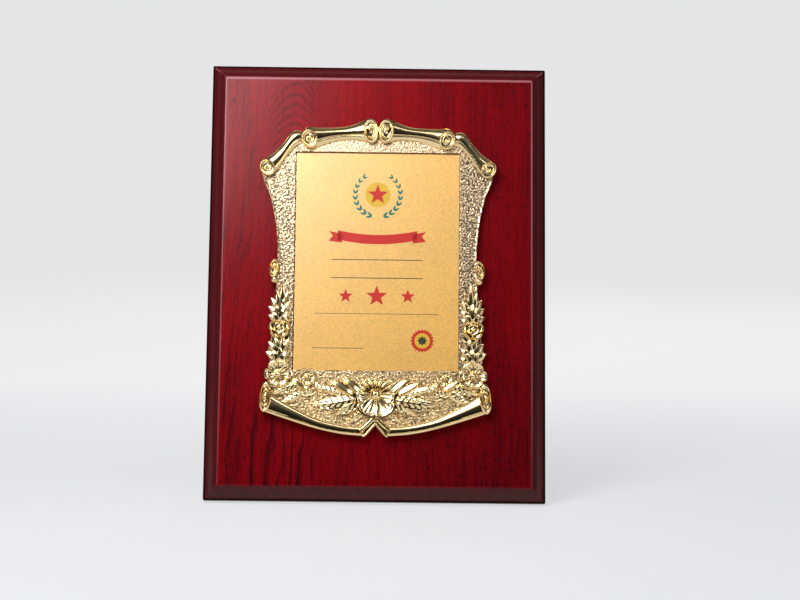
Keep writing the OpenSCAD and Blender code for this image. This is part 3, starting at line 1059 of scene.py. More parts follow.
@dataclass
class Board:
    """The bevelled board with its face sheet.

    Attributes:
        board: The board's axes.
        half_w: Half the board's width.
        half_h: Half the board's height.
        bevel_w: Width of the bevel across the face.
        bevel_d: Depth of the bevel.
        arris: Width of the rounded edge of the face.
        swell: How far the bevel bows in and out.
        corner: Radius of the board's corners.
        face_corner: Radius of the corners at the face.
        sheet_corner: Radius of the corners of the sheet's flat.
    """

    board: BoardFrame
    half_w: float = 115.0
    half_h: float = 150.0
    bevel_w: float = 10.0
    bevel_d: float = 8.0
    arris: float = 2.4
    swell: float = 0.38
    corner: float = 0.9
    face_corner: float = 1.2
    sheet_corner: float = 1.6

    CORNER_STEPS = 5
    BEVEL_STEPS = 14
    ARRIS_STEPS = 8
    BACK_EASE = ((0.7, 0.0, 0.6), (0.2, 0.2, 0.8), (0.0, 0.7, 0.9))
    KNEE_EASE = ((0.0, -0.5, 0.9), (0.12, -0.1, 0.9), (0.5, 0.4, 0.9))
    SHEET_WALL = 0.08
    SHEET_EASE = 0.12

    def ring(self, inset: float, level: float, corner: float) -> list[Point3]:
        """A rectangle with rounded corners, drawn in from the board's edges.

        Args:
            inset: Distance in from the board's outer edges.
            level: Height above the face.
            corner: Radius of the corners.

        Returns:
            The points of the ring.
        """
        a, b = self.half_w - inset - corner, self.half_h - inset - corner
        found: list[Point3] = []
        for k, (su, sv) in enumerate(((1, 1), (-1, 1), (-1, -1), (1, -1))):
            for i in range(self.CORNER_STEPS):
                angle = math.pi / 2 * (k + i / (self.CORNER_STEPS - 1))
                found.append((su * a + corner * math.cos(angle), sv * b + corner * math.sin(angle), level))
        return found

    def core(self) -> Piece:
        """The lacquered core, with eased edges and a bevel of a slight double curve.

        Returns:
            The piece.
        """
        knee = -self.bevel_d
        slope, run = self.bevel_w / self.bevel_d, math.hypot(self.bevel_w, self.bevel_d)
        rings = [(inset, Level.BACK + lift, corner) for inset, lift, corner in self.BACK_EASE]
        rings += [(inset, knee + lift, corner) for inset, lift, corner in self.KNEE_EASE]
        for k in range(2, self.BEVEL_STEPS):
            share = k / self.BEVEL_STEPS
            level = lerp(knee, Level.CORE_TOP, share)
            swell = self.swell * math.sin(2 * math.pi * share)
            inset = (level - knee) * slope + swell * self.bevel_d / run
            corner = lerp(self.corner, self.face_corner, share)
            rings.append((inset, level - swell * self.bevel_w / run, corner))
        rings.append(((Level.CORE_TOP - knee) * slope, Level.CORE_TOP, self.face_corner))
        maker = MeshMaker(self.board)
        maker.loft([self.ring(*ring) for ring in rings])
        return maker.make("core_board_lacquered", crease=60)

    def face_sheet(self) -> Piece:
        """The wood-grain sheet, with a rounded edge.

        Returns:
            The piece.
        """
        outer = (Level.CORE_TOP + self.bevel_d) * self.bevel_w / self.bevel_d
        rings = [
            self.ring(outer, Level.CORE_TOP, self.face_corner),
            self.ring(outer + 0.02, Level.CORE_TOP + self.SHEET_WALL, self.face_corner),
        ]
        for k in range(1, self.ARRIS_STEPS + 1):
            share = k / self.ARRIS_STEPS
            fall = (Level.CORE_TOP + self.SHEET_EASE) * (1 - share) ** 2
            corner = lerp(self.face_corner, self.sheet_corner, share)
            rings.append(self.ring(outer + 0.1 + self.arris * share, fall, corner))
        rings.append(self.ring(outer + self.arris + 1.0, Level.FACE, self.sheet_corner))
        maker = MeshMaker(self.board)
        maker.loft(rings)
        return maker.make("face_sheet_rosewood", crease=60)

    def dress(self, dresser: Dresser) -> None:
        """Builds the board's pieces and paints its backing sheet.

        Args:
            dresser: Paints pieces and puts them on their bodies.
        """
        dresser.settle(self.core(), Finishes.LACQUER, "lacquer", "board", "core_board")
        dresser.settle(self.face_sheet(), Finishes.WOOD_FACE, "wood_face", "board", "face_laminate")
        dresser.paint_node("back_liner", Finishes.FLOCK)


@dataclass(frozen=True)
class Roll:
    """A rolled edge of the casting with a sloping lip along one side.

    Attributes:
        top: Edge of the roll away from the lip.
        seam: Line where the roll meets its lip.
        lip: Outer edge of the lip.
        top_foot: Height where the edge away from the lip stands.
        lip_foot: Height where the lip's edge stands.
        rising: Slope of the roll at its edge away from the lip.
        crown: Where the roll is level, as a share of its width.
        falling: Slope of the roll where it meets its lip.
    """

    top: tuple[Point2, ...]
    seam: tuple[Point2, ...]
    lip: tuple[Point2, ...]
    top_foot: float
    lip_foot: float
    rising: float = 0.8
    crown: float = 0.58
    falling: float = 0.3

    SAMPLES = 56
    EDGE_LEVEL = 5.0
    WALL_DROP = 0.5
    BEAD = 0.9
    BEAD_MOST = 0.25
    BEAD_PROFILE = ((0.15, -0.1), (0.5, 0.12), (0.85, -0.1))
    DOME_STEPS = 18
    DOME_DROP = 0.3
    DOME_END = 0.97
    GROOVE_AT = 0.99
    GROOVE_DEPTH = 0.3
    LIP_SLOPE = 0.42
    LIP_RISE = ((0.05, 0.0), (0.12, 0.22), (0.2, 0.3))
    LIP_FALL = ((0.35, 0.0), (0.5, 0.0), (0.65, 0.0), (0.76, 0.05), (0.85, 0.3), (0.93, 0.75), (1.0, 1.4))

    def height(self, share: float) -> float:
        """Height of the roll above its edge.

        Args:
            share: How far across the roll, from 0 to 1.

        Returns:
            The height, as a share of the roll's width.
        """
        if share < self.crown:
            return self.rising * (share - share**2 / (2 * self.crown))
        past = (share - self.crown) ** 2 / (2 * (1 - self.crown))
        return self.rising * self.crown / 2 - self.falling * past

    def rings(self) -> list[list[Point3]]:
        """The roll's cross-sections, as closed rings from one end to the other."""
        tops, seams, lips = (curve_through(e, self.SAMPLES) for e in (self.top, self.seam, self.lip))
        return [self.section(Vector(a), Vector(b), Vector(c)) for a, b, c in zip(tops, seams, lips)]

    def section(self, top: Vector, seam: Vector, lip: Vector) -> list[Point3]:
        """One closed cross-section: wall, bead, dome, groove and lip.

        Args:
            top: Place on the edge away from the lip.
            seam: Place on the line between roll and lip.
            lip: Place on the lip's edge.

        Returns:
            The ring of points.
        """
        width = (seam - top).length
        bead = min(self.BEAD_MOST, self.BEAD / max(width, 0.1))
        dome_foot = self.EDGE_LEVEL - self.DOME_DROP
        profile: list[tuple[Vector, float]] = [(top, self.top_foot), (top, self.EDGE_LEVEL - self.WALL_DROP)]
        for share, lift in self.BEAD_PROFILE:
            profile.append((top.lerp(seam, bead * share), self.EDGE_LEVEL + lift))
        for k in range(self.DOME_STEPS + 1):
            share = k / self.DOME_STEPS
            place = top.lerp(seam, lerp(bead, self.DOME_END, share))
            profile.append((place, dome_foot + self.height(share) * width))
        seam_level = dome_foot + self.height(1.0) * width
        profile.append((top.lerp(seam, self.GROOVE_AT), seam_level - self.GROOVE_DEPTH))
        for share, lift in self.LIP_RISE:
            profile.append((seam.lerp(lip, share), seam_level + lift))
        crest, crest_lift = self.LIP_RISE[-1]
        drop = (lip - seam).length * self.LIP_SLOPE
        for share, fall in self.LIP_FALL:
            profile.append((seam.lerp(lip, share), seam_level + crest_lift - drop * (share - crest) - fall))
        profile.append((lip, self.lip_foot))
        return [(p.x, p.y, w) for p, w in profile]


@dataclass(frozen=True)
class Volute:
    """A scroll end: an oval with a rim and a spiral ridge wound into it.

    Attributes:
        centre: Middle of the oval.
        half: Half axes of the oval.
        tilt: Turn of the oval, in degrees.
        turns: Turns of the spiral.
        hand: 1 winds one way and -1 the other.
        height: Height of the rim above the face.
    """

    centre: Point2
    half: Point2
    tilt: float
    turns: float = 1.15
    hand: int = 1
    height: float = 8.4

    AROUND = 80
    RINGS = 48
    WALL = 2.4
    FLARE = 1.02
    RIDGE = 1.1
    RIDGE_ROUND = 0.2
    DEEPEST = 0.82
    DISH = 0.5
    RIM = 0.7
    EYE = 0.24
    EYE_TOP = 0.01
    GROOVE = 0.4
    START = 0.35

    def level(self, share: float, angle: float) -> float:
        """Height of the scroll end.

        Args:
            share: How far out from the middle, from 0 to 1.
            angle: Angle about the middle, in radians.

        Returns:
            Height above the face.
        """
        if share > self.RIM:
            across = 2 * (share - self.RIM) / (1 - self.RIM) - 1
        elif share > self.EYE:
            wind = share / self.RIM * self.turns - self.hand * angle / (2 * math.pi) + self.START
            across = max(-1.0, 2 * (wind % 1.0 - self.GROOVE) / (1 - self.GROOVE) - 1)
        else:
            across = share / self.EYE
        fall = math.hypot(across, self.RIDGE_ROUND) - self.RIDGE_ROUND
        return self.height - self.DISH * (1 - share**2) - self.RIDGE * min(fall, self.DEEPEST)

    def rings(self) -> list[list[Point3]]:
        """Closed rings from the foot up over the rim to the middle.

        Returns:
            The rings.
        """
        wall_top = self.height - self.WALL
        found = [self._ring(1.0, lambda a: Level.FACE), self._ring(self.FLARE, lambda a: wall_top)]
        for k in range(self.RINGS):
            share = 1.0 - k / self.RINGS
            found.append(self._ring(share, lambda a, s=share: self.level(s, a)))
        found.append(self._ring(self.EYE_TOP, lambda a: self.level(0.0, 0.0)))
        return found

    def _ring(self, share: float, level: Callable[[float], float]) -> list[Point3]:
        """One ring of the oval.

        Args:
            share: Its share of the radius.
            level: Gives its height at an angle.

        Returns:
            The points of the ring.
        """
        turn = math.radians(self.tilt)
        found: list[Point3] = []
        for i in range(self.AROUND):
            angle = 2 * math.pi * i / self.AROUND
            x, y = share * self.half[0] * math.cos(angle), share * self.half[1] * math.sin(angle)
            u = self.centre[0] + x * math.cos(turn) - y * math.sin(turn)
            v = self.centre[1] + x * math.sin(turn) + y * math.cos(turn)
            found.append((u, v, level(angle)))
        return found


class Blade(Enum):
    """How a leaf's blade is pressed: heights of its left edge, rib and right edge, and the rib's place."""

    RIDGED = (0.12, 1.0, 0.55, -0.35)
    NARROW = (0.1, 1.0, 0.86, -0.3)
    EVEN = (0.2, 1.0, 0.55, -0.05)


@dataclass(frozen=True)
class Leaf:
    """A pressed leaf with a steep side, a gentle side, and teeth and side veins if it has any.

    Attributes:
        foot: Where the leaf starts.
        tip: Where it ends.
        width: Its greatest width.
        bend: Sideways bow, as a share of its length.
        teeth: Teeth along each edge, or 0 for a smooth leaf.
        rise: Height of the blade above the ground.
        blade: How it is pressed.
        flip: 1, or -1 to press it the other way round.
    """

    foot: Point2
    tip: Point2
    width: float
    bend: float = 0.0
    teeth: int = 3
    rise: float = 2.3
    blade: Blade = Blade.RIDGED
    flip: int = 1

    ALONG = 36
    ACROSS = 8
    WIDEST_EARLY = 0.72
    FULLNESS = 0.75
    THINNEST = 0.02
    BITE = 0.2
    BITE_SPAN = (0.1, 0.3)
    VEIN = 0.65
    VEINS_PER_TOOTH = 1.5
    VEIN_SWEEP = 0.7
    VEIN_SPAN = (0.0, 0.3)
    HEM = 0.35
    HEM_AT = 0.88
    HEM_WIDTH = 0.12
    ARCH = (0.15, 0.75, 0.7)
    UNDERCUT = 0.96

    @classmethod
    def narrow(cls, foot: Point2, tip: Point2, width: float, bend: float = 0.0, rise: float = 2.3,
               flip: int = 1) -> "Leaf":
        """A smooth, narrow leaf of the side sprays."""
        return cls(foot, tip, width, bend, 0, rise, Blade.NARROW, flip)

    def half_width(self, share: float) -> float:
        """Half the width, teeth included.

        Args:
            share: How far along the leaf, from 0 to 1.

        Returns:
            The half width.
        """
        body = math.sin(math.pi * min(1.0, share**self.WIDEST_EARLY)) ** self.FULLNESS
        tooth = (share * self.teeth) % 1.0
        bite = self.BITE * (1 - tooth) * smooth_step(*self.BITE_SPAN, share) if self.teeth else 0.0
        return max(self.THINNEST, self.width / 2 * body * (1 - bite))

    def level(self, along: float, across: float) -> float:
        """Height of the blade.

        Args:
            along: How far along the leaf, from 0 to 1.
            across: How far across it, from -1 to 1.

        Returns:
            Height above the face.
        """
        left, middle, right, rib = self.blade.value
        place = across * self.flip
        if place < rib:
            press = lerp(left, middle, (place + 1) / (rib + 1))
        else:
            press = lerp(middle, right, (place - rib) / (1 - rib))
        side = abs(place - rib)
        fold = abs((along * self.teeth * self.VEINS_PER_TOOTH - self.VEIN_SWEEP * side) % 1.0 - 0.5) * 2 - 0.5
        vein = self.VEIN * fold * smooth_step(*self.VEIN_SPAN, side) if self.teeth else 0.0
        hem = self.HEM * math.exp(-(((abs(across) - self.HEM_AT) / self.HEM_WIDTH) ** 2))
        start, length, power = self.ARCH
        arch = math.sin(math.pi * (start + length * along)) ** power
        return Level.GROUND + self.rise * arch * press + (vein + hem) * arch

    def rings(self) -> list[list[Point3]]:
        """Closed cross-sections from foot to tip.

        Returns:
            The cross-sections.
        """
        foot, tip = Vector(self.foot), Vector(self.tip)
        way = tip - foot
        side_way = Vector((-way.y, way.x))
        knee = (foot + tip) / 2 + side_way * self.bend * 2
        found: list[list[Point3]] = []
        for i in range(self.ALONG + 1):
            t = i / self.ALONG
            spot = (1 - t) ** 2 * foot + 2 * t * (1 - t) * knee + t**2 * tip
            run = 2 * (1 - t) * (knee - foot) + 2 * t * (tip - knee)
            square = Vector((-run.y, run.x)).normalized() * self.half_width(t)
            ring: list[Point3] = []
            for j in range(-self.ACROSS, self.ACROSS + 1):
                across = j / self.ACROSS
                ring.append((*(spot + square * across), self.level(t, across)))
            for across in (self.UNDERCUT, -self.UNDERCUT):
                ring.append((*(spot + square * across), Level.SUNK))
            found.append(ring)
        return found


@dataclass(frozen=True)
class Petal:
    """A cupped petal with ribs and a turned-up rim, set round a flower's middle.

    Attributes:
        centre: Middle of the flower.
        facing: Direction of the petal, in degrees.
        spread: Angle that the petal fills, in degrees.
        near: Radius where it starts.
        far: Radius of its rim.
        ribs: Ribs across it.
        rise: Height of the rim above the ground.
        rib: Height of the ribs.
        cup: How deeply the petal is cupped.
        low: Where the petal is lowest, as a share of the way out.
        stretch: How many times wider than round the flower is.
    """

    centre: Point2
    facing: float
    spread: float
    near: float
    far: float
    ribs: int = 3
    rise: float = 2.8
    rib: float = 0.28
    cup: float = 1.0
    low: float = 0.35
    stretch: float = 1.0

    ALONG = 18
    ACROSS_LEAST = 16
    ACROSS_PER_RIB = 12
    BOWL_FOOT = 0.5
    BOWL = 1.1
    RIM = 0.24
    RIM_AT = 0.92
    RIM_WIDTH = 0.055
    EDGE_FALL = 0.3
    EDGE_SPAN = (0.82, 1.0)
    RIB_SPAN = (0.2, 0.6)
    RIB_START = (0.0, 0.15)
    RIB_END = (0.8, 0.9)
    ROUNDING = 0.16

    def level(self, along: float, across: float) -> float:
        """Height of the petal.

        Args:
            along: How far out it is, from 0 to 1.
            across: How far across it is, from -1 to 1.

        Returns:
            Height above the face.
        """
        bowl = self.BOWL_FOOT + self.cup * self.BOWL * (along - self.low) ** 2
        rim = self.RIM * math.exp(-(((along - self.RIM_AT) / self.RIM_WIDTH) ** 2))
        edge = self.EDGE_FALL * smooth_step(*self.EDGE_SPAN, abs(across)) ** 2
        from_rib = abs((self.ribs * across / 2 + 0.5) % 1.0 - 0.5) * 2
        rib = self.rib * (1 - smooth_step(*self.RIB_SPAN, from_rib)) * smooth_step(*self.RIB_START, along)
        return Level.GROUND + self.rise * (bowl + rim - edge) + rib * (1 - smooth_step(*self.RIB_END, along))

    def rings(self) -> list[list[Point3]]:
        """Closed cross-sections from one side of the petal to the other.

        Returns:
            The cross-sections.
        """
        count = max(self.ACROSS_LEAST, self.ACROSS_PER_RIB * self.ribs)
        found: list[list[Point3]] = []
        for i in range(count + 1):
            across = 2 * i / count - 1
            angle = math.radians(self.facing + across * self.spread / 2)
            far = self.far * (1 - self.ROUNDING * abs(across) ** 3)
            ring = [self._point(angle, self.near, Level.SUNK)]
            for k in range(self.ALONG + 1):
                along = k / self.ALONG
                ring.append(self._point(angle, lerp(self.near, far, along), self.level(along, across)))
            ring.append(self._point(angle, far, Level.SUNK))
            found.append(ring)
        return found

    def _point(self, angle: float, radius: float, level: float) -> Point3:
        """A point at an angle and radius from the flower's middle."""
        across, up = radius * math.cos(angle) * self.stretch, radius * math.sin(angle)
        return (self.centre[0] + across, self.centre[1] + up, level)


@dataclass(frozen=True)
class Knob:
    """A rounded boss: a ball, a bud or a flower's button.

    Attributes:
        centre: Its middle.
        radius: Its greatest radius.
        top: Height of its crown above the face.
        squareness: 2 is round, and more is squarer.
        foot: Height where it stands.
    """

    centre: Point2
    radius: float
    top: float
    squareness: float = 2.0
    foot: float = Level.SUNK

    AROUND = 28
    RINGS = 8
    SPRING = Level.GROUND - 0.3
    CROWN = 0.02

    def rings(self) -> list[list[Point3]]:
        """Closed rings from the foot over the crown.

        Returns:
            The rings.
        """
        found = [self._ring(1.0, self.foot)]
        for k in range(self.RINGS):
            angle = math.pi / 2 * k / self.RINGS
            found.append(self._ring(math.cos(angle), lerp(self.SPRING, self.top, math.sin(angle))))
        found.append(self._ring(self.CROWN, self.top))
        return found

    def _ring(self, share: float, level: float) -> list[Point3]:
        """One ring of the boss.

        Args:
            share: Its share of the radius.
            level: Its height above the face.

        Returns:
            The points of the ring.
        """
        power = 2 / self.squareness
        found: list[Point3] = []
        for i in range(self.AROUND):
            a = 2 * math.pi * i / self.AROUND
            x = math.copysign(abs(math.cos(a)) ** power, math.cos(a)) * self.radius * share
            y = math.copysign(abs(math.sin(a)) ** power, math.sin(a)) * self.radius * share
            found.append((self.centre[0] + x, self.centre[1] + y, level))
        return found


class RimFinder:
    """Finds places on a closed outline and inside it."""

    BAND = 4.0

    def __init__(self, outline: Sequence[Point2]) -> None:
        """Sorts the outline's edges into bands of height.

        Args:
            outline: Points of the closed outline.
        """
        self.edges = list(zip(outline, [*outline[1:], outline[0]]))
        self.bands: dict[int, list[tuple[Vector, Vector]]] = {}
        for a, b in self.edges:
            low, high = sorted((a[1], b[1]))
            for band in range(int(low // self.BAND) - 1, int(high // self.BAND) + 2):
                self.bands.setdefault(band, []).append((Vector(a), Vector(b)))

    def stretches(self, v: float) -> list[Span]:
        """The stretches inside the outline at a height."""
        hits = sorted(a[0] + (v - a[1]) / (b[1] - a[1]) * (b[0] - a[0])
                      for a, b in self.edges if (a[1] > v) != (b[1] > v))
        return list(zip(hits[::2], hits[1::2]))

    def nearest(self, spot: Vector) -> Vector:
        """The point of the outline nearest to a spot.

        Args:
            spot: A place near the outline.

        Returns:
            The nearest point.
        """
        found, least = spot, math.inf
        for a, b in self.bands.get(int(spot.y // self.BAND), ()):
            way = b - a
            share = (spot - a).dot(way) / max(way.length_squared, 1e-12)
            point = a + way * min(1.0, max(0.0, share))
            gap = (point - spot).length
            if gap < least:
                found, least = point, gap
        return found


@dataclass
class ScrollFrame:
    """The gilt casting: stippled ground, rolls, scroll ends, leaves and flowers.

    Each list holds the right half, and the left is its mirror image.

    Attributes:
        board: The board's axes.
        pitch: Spacing of the ground's points.
        stipple: Depth of the ground's stipple.
        base_depth: How many times deeper the stipple is at the foot.
        cell: Size of the stipple's grains.
    """

    board: BoardFrame
    pitch: float = 0.42
    stipple: float = 0.24
    base_depth: float = 1.7
    cell: float = 0.9

    WINDOW = (-56.4, 55.8, -62.7, 87.5)
    REACH = (84, 112)
    TOP_MIDDLE = (0.0, 102.5)
    NOTCH_MIDDLE = (0.0, -98.6)
    SIDE_FROM = 64
    INSIDE = 3.0
    RIPPLE = 0.25
    RIPPLE_SCALE = 1.7
    RIPPLE_SHIFTS = ((9.3, -1.5, -8.0), (-6.3, 4.1, 2.7), (3.7, 8.9, -5.2))
    PIT_SPAN = (0.12, 0.5)
    CALM_SPAN = (0.3, 1.3)
    RIM_SPAN = (0.5, 1.1)
    RIM_RISE = 0.3
    BASE_SPAN = (-72.0, -58.0)
    GROUND_CREASE = 70
    BED_RISE = 0.4
    ROLLS = (
        Roll(
            top=((6.0, 110.3), (9.5, 109.9), (15, 107.4), (22, 105.2), (31, 104.3), (40, 104.2), (46, 104.7),
                 (50, 103.8)),
            seam=((6.0, 98.2), (9.5, 98.8), (20, 98.9), (30, 97.9), (38, 95.9), (44, 93.3)),
            lip=((5.5, 93.6), (8, 94.2), (14, 95.4), (20, 95.4), (30, 94.0), (40, 90.5), (46, 88.8)),
            top_foot=Level.FACE, lip_foot=Level.SUNK,
        ),
        Roll(
            top=((52.8, 101.6), (57, 102.0), (61, 99.0), (66, 92.0), (71, 86.6), (76, 83.0), (80, 80.2)),
            seam=((53, 96.2), (58, 93), (62, 87.5), (66, 81), (71, 74.7)),
            lip=((51.5, 92.4), (56, 90.6), (60, 86.4), (64, 80.9), (68, 74.6), (71, 71.2)),
            top_foot=Level.FACE, lip_foot=Level.SUNK,
        ),
        Roll(
            top=((8, -100.4), (20, -99.6), (30, -97.8), (40, -95), (50, -90.4), (60, -85.2), (70.5, -78.9)),
            seam=((8, -104.9), (20, -104.0), (30, -102.5), (40, -100.2), (50, -97.2), (60, -94.0),
                  (73, -90.0)),
            lip=((8, -107.1), (20, -106.2), (30, -104.6), (40, -102.3), (50, -99.4), (60, -96.3),
                 (74, -91.7)),
            top_foot=Level.SUNK, lip_foot=Level.FACE, rising=0.5, crown=0.66, falling=0.12,
        ),
    )
    VOLUTES = (
        Volute((5.1, 101.8), (5.3, 8.4), -4),
        Volute((47, 95.9), (5.4, 6.7), -20, hand=-1),
        Volute((75.3, 75.4), (5.0, 6.0), -30, hand=-1),
        Volute((73.7, -81.3), (4.0, 10.3), 5, turns=2.4),
        Volute((8.4, -102.2), (1.7, 3.0), 15, turns=1.2, height=6.6),
        Volute((69.6, 6.2), (3.3, 6.4), 6, turns=1.3, height=6.6),
    )
    BUD_BALL = Knob((69.2, -1.6), 2.7, 7.0, foot=Level.FACE)
    WAIST = ((79.5, 74), (77, 66), (74, 59), (72, 52), (70, 43), (68.5, 33), (67.7, 25), (67.3, 15))
    SIDE = ((67.6, 6), (68, -8), (70.5, -24), (70, -38), (72.5, -50), (71, -60), (73, -72))
    SIDE_LEAVES = (
        Leaf.narrow((65, -24), (63.4, -3.5), 6.0),
        Leaf.narrow((65.6, -25), (67.6, -9), 5.8),
        Leaf.narrow((66, -27), (71.4, -14), 5.8, bend=0.08),
        Leaf.narrow((66, -28.5), (73, -20), 5.5, bend=0.1),
        Leaf.narrow((66.5, -30), (73.2, -26), 4.8, bend=0.08),
        Leaf.narrow((64, -25), (59.6, -9.5), 5.8, bend=-0.06, flip=-1),
        Leaf.narrow((63.4, -27), (57.2, -15.5), 5.8, bend=-0.08, flip=-1),
        Leaf.narrow((63, -29), (56.9, -21.8), 5.3, bend=-0.08, flip=-1),
        Leaf.narrow((62.6, -31), (57.0, -27.6), 4.6, bend=-0.06, flip=-1),
        Leaf.narrow((65.2, -30), (64.8, -15.5), 5.8, rise=3.2),
        Leaf.narrow((65.8, -30), (68.8, -18), 5.3, bend=0.06, rise=3.2),
        Leaf.narrow((64.4, -30), (60.8, -17.8), 5.3, bend=-0.06, rise=3.2, flip=-1),
        Leaf.narrow((66, -31), (70.6, -23), 4.8, rise=3.2),
        Leaf.narrow((64, -31), (59.4, -23.6), 4.8, rise=3.2, flip=-1),
        Leaf.narrow((64.6, -52), (62.6, -40), 5.8),
        Leaf.narrow((65.6, -52), (68.6, -40.5), 5.5, bend=0.05),
        Leaf.narrow((66, -54), (72.6, -44), 5.8, bend=0.08),
        Leaf.narrow((66.5, -56), (74.4, -51), 5.5, bend=0.08),
        Leaf.narrow((63.6, -53), (58.2, -41.5), 5.5, bend=-0.06, flip=-1),
        Leaf.narrow((63, -55), (56.9, -47.8), 5.3, bend=-0.08, flip=-1),
        Leaf.narrow((62.6, -57), (56.9, -53.6), 4.8, flip=-1),
        Leaf.narrow((65, -58), (64.8, -46.5), 5.8, rise=3.2),
        Leaf.narrow((65.8, -58), (70, -49), 5.3, rise=3.2),
        Leaf.narrow((64, -58), (59.8, -49.5), 5.3, rise=3.2, flip=-1),
    )
    FOOT_LEAVES = (
        Leaf((45, -76), (57.5, -68.4), 5.6, teeth=0, rise=2.8),
        Leaf((52, -73), (70, -79), 8.6, bend=0.04, teeth=4, rise=2.4, blade=Blade.EVEN, flip=-1),
        Leaf((50, -77), (63.5, -84.5), 7.4, bend=-0.06),
        Leaf((40, -76), (53, -78.5), 6.0, bend=-0.06, flip=-1),
        Leaf((13, -82), (43, -85.5), 10.6, bend=-0.05, teeth=5, rise=2.6, blade=Blade.EVEN, flip=-1),
        Leaf((10, -78), (23, -67.2), 6.4, teeth=0, rise=3.2),
        Leaf((15, -79), (31.5, -69.6), 6.8, teeth=0, rise=3.2),
        Leaf((21, -79.5), (39.5, -74.2), 7.2, bend=0.05, teeth=4),
        Leaf((11, -85), (27.5, -93.2), 8.4, bend=0.05, rise=3.0, flip=-1),
        Leaf((8, -90), (17.5, -98.2), 6.6, bend=0.04, flip=-1),
        Leaf((34, -77), (43.5, -68.8), 5.6, bend=-0.06),
    )
    LEAF_BEDS = (
        ((61.4, -11), (64, -8), (67, -11), (69.6, -22), (69.6, -38), (71, -50), (70, -59), (60, -61),
         (58.4, -50), (59.6, -38), (58.4, -22)),
        ((9, -74), (18, -75), (26, -78), (31, -82), (26, -87), (18, -90), (9, -91)),
    )
    ROSE = (65.2, -34.5)
    LILY = (65.4, -66.0)
    CLUSTER = (46.0, -67.5)
    PANSY = (0.0, -79.0)
    PANSY_PETALS = ((-14, 46, 13.4), (194, 46, 13.4), (240, 62, 16.0), (-58, 66, 16.6))
    NOTCH_RIM = ((8.4, -106.9), (6.8, -106.2), (3.2, -102.2), (0.0, -98.4))
    NOTCH_FOLD = ((9.2, -102.5), (5.2, -99.2), (1.9, -95.6))
    NOTCH_BED = ((0.0, -97.4), (0.0, -98.6), (7.4, -106.4), (9.4, -106.8), (9.4, -100.6), (4.0, -96.6))
    NOTCH_BED_TOP = 4.7
    BAR_SAMPLES = 16
    BAR_ROUND = 0.8
    BAR_STEPS = 6

    def outline(self) -> list[Point2]:
        """The ground's outline: under the rolls at top and bottom, and the open edge at the sides.

        Returns:
            The closed outline.
        """
        crest, shoulder, base = self.ROLLS
        half: list[Point2] = [self.TOP_MIDDLE]
        for roll in (crest, shoulder):
            half += between(roll.top, roll.seam, 0.5, 30)
        half += curve_through(self.WAIST + self.SIDE, 150)
        half += reversed(between(base.top, base.seam, 0.6, 40))
        half.append(self.NOTCH_MIDDLE)
        return half + [(-u, v) for u, v in reversed(half[1:-1])]

    def ground_level(self, u: float, v: float, edge: float) -> float:
        """Height of the stippled ground.

        Args:
            u: Place across the board.
            v: Place up the board.
            edge: Distance to the ground's outline.

        Returns:
            Height above the face.
        """
        spot = Vector((u, v, 0.0)) / self.cell
        ripple = spot * self.RIPPLE_SCALE
        spot += self.RIPPLE * Vector([noise.noise(ripple + Vector(shift)) for shift in self.RIPPLE_SHIFTS])
        near, _ = noise.voronoi(spot)
        pit = 1 - smooth_step(*self.PIT_SPAN, near[0])
        lump = noise.noise(spot * 0.7) + 0.4 * noise.noise(spot * 1.6)
        calm = smooth_step(*self.CALM_SPAN, edge)
        rim = self.RIM_RISE * (1 - smooth_step(*self.RIM_SPAN, edge))
        depth = self.stipple * lerp(self.base_depth, 1.0, smooth_step(*self.BASE_SPAN, v))
        return Level.GROUND + depth * calm * (0.5 * lump - pit) + rim

    def ground(self) -> Piece:
        """The stippled ground as a closed sheet with a window, its grid drawn to its edges.

        Returns:
            The piece.
        """
        rim = RimFinder(self.outline())
        left, right, low, high = self.WINDOW
        count_u, count_v = (int(reach / self.pitch) for reach in self.REACH)
        kept: set[tuple[int, int]] = set()
        for j in range(-count_v, count_v):
            v = (j + 0.5) * self.pitch
            spans = rim.stretches(v)
            for i in range(-count_u, count_u):
                u = (i + 0.5) * self.pitch
                in_window = left < u < right and low < v < high
                if not in_window and any(a < u < b for a, b in spans):
                    kept.add((i, j))
        return self._sheet(kept, rim)

    def _sheet(self, cells: set[tuple[int, int]], rim: RimFinder) -> Piece:
        """Makes the ground from its kept cells.

        Args:
            cells: Grid cells that the ground covers.
            rim: Finds the outline, which the border points are drawn to.

        Returns:
            The piece.
        """
        uses: dict[tuple[int, int], int] = {}
        for i, j in cells:
            for corner in ((i, j), (i + 1, j), (i + 1, j + 1), (i, j + 1)):
                uses[corner] = uses.get(corner, 0) + 1
        maker = MeshMaker(self.board)
        index: dict[tuple[int, int], int] = {}
        for corner, used in sorted(uses.items()):
            spot, edge = self._settled(Vector([step * self.pitch for step in corner]), used < 4, rim)
            index[corner] = len(maker.points)
            maker.points.append((spot.x, spot.y, self.ground_level(spot.x, spot.y, edge)))
        for i, j in sorted(cells):
            maker.faces.append((index[i, j], index[i + 1, j], index[i + 1, j + 1], index[i, j + 1]))
        piece = maker.make("frame_ground", crease=self.GROUND_CREASE)
        self._close_under(piece)
        return piece

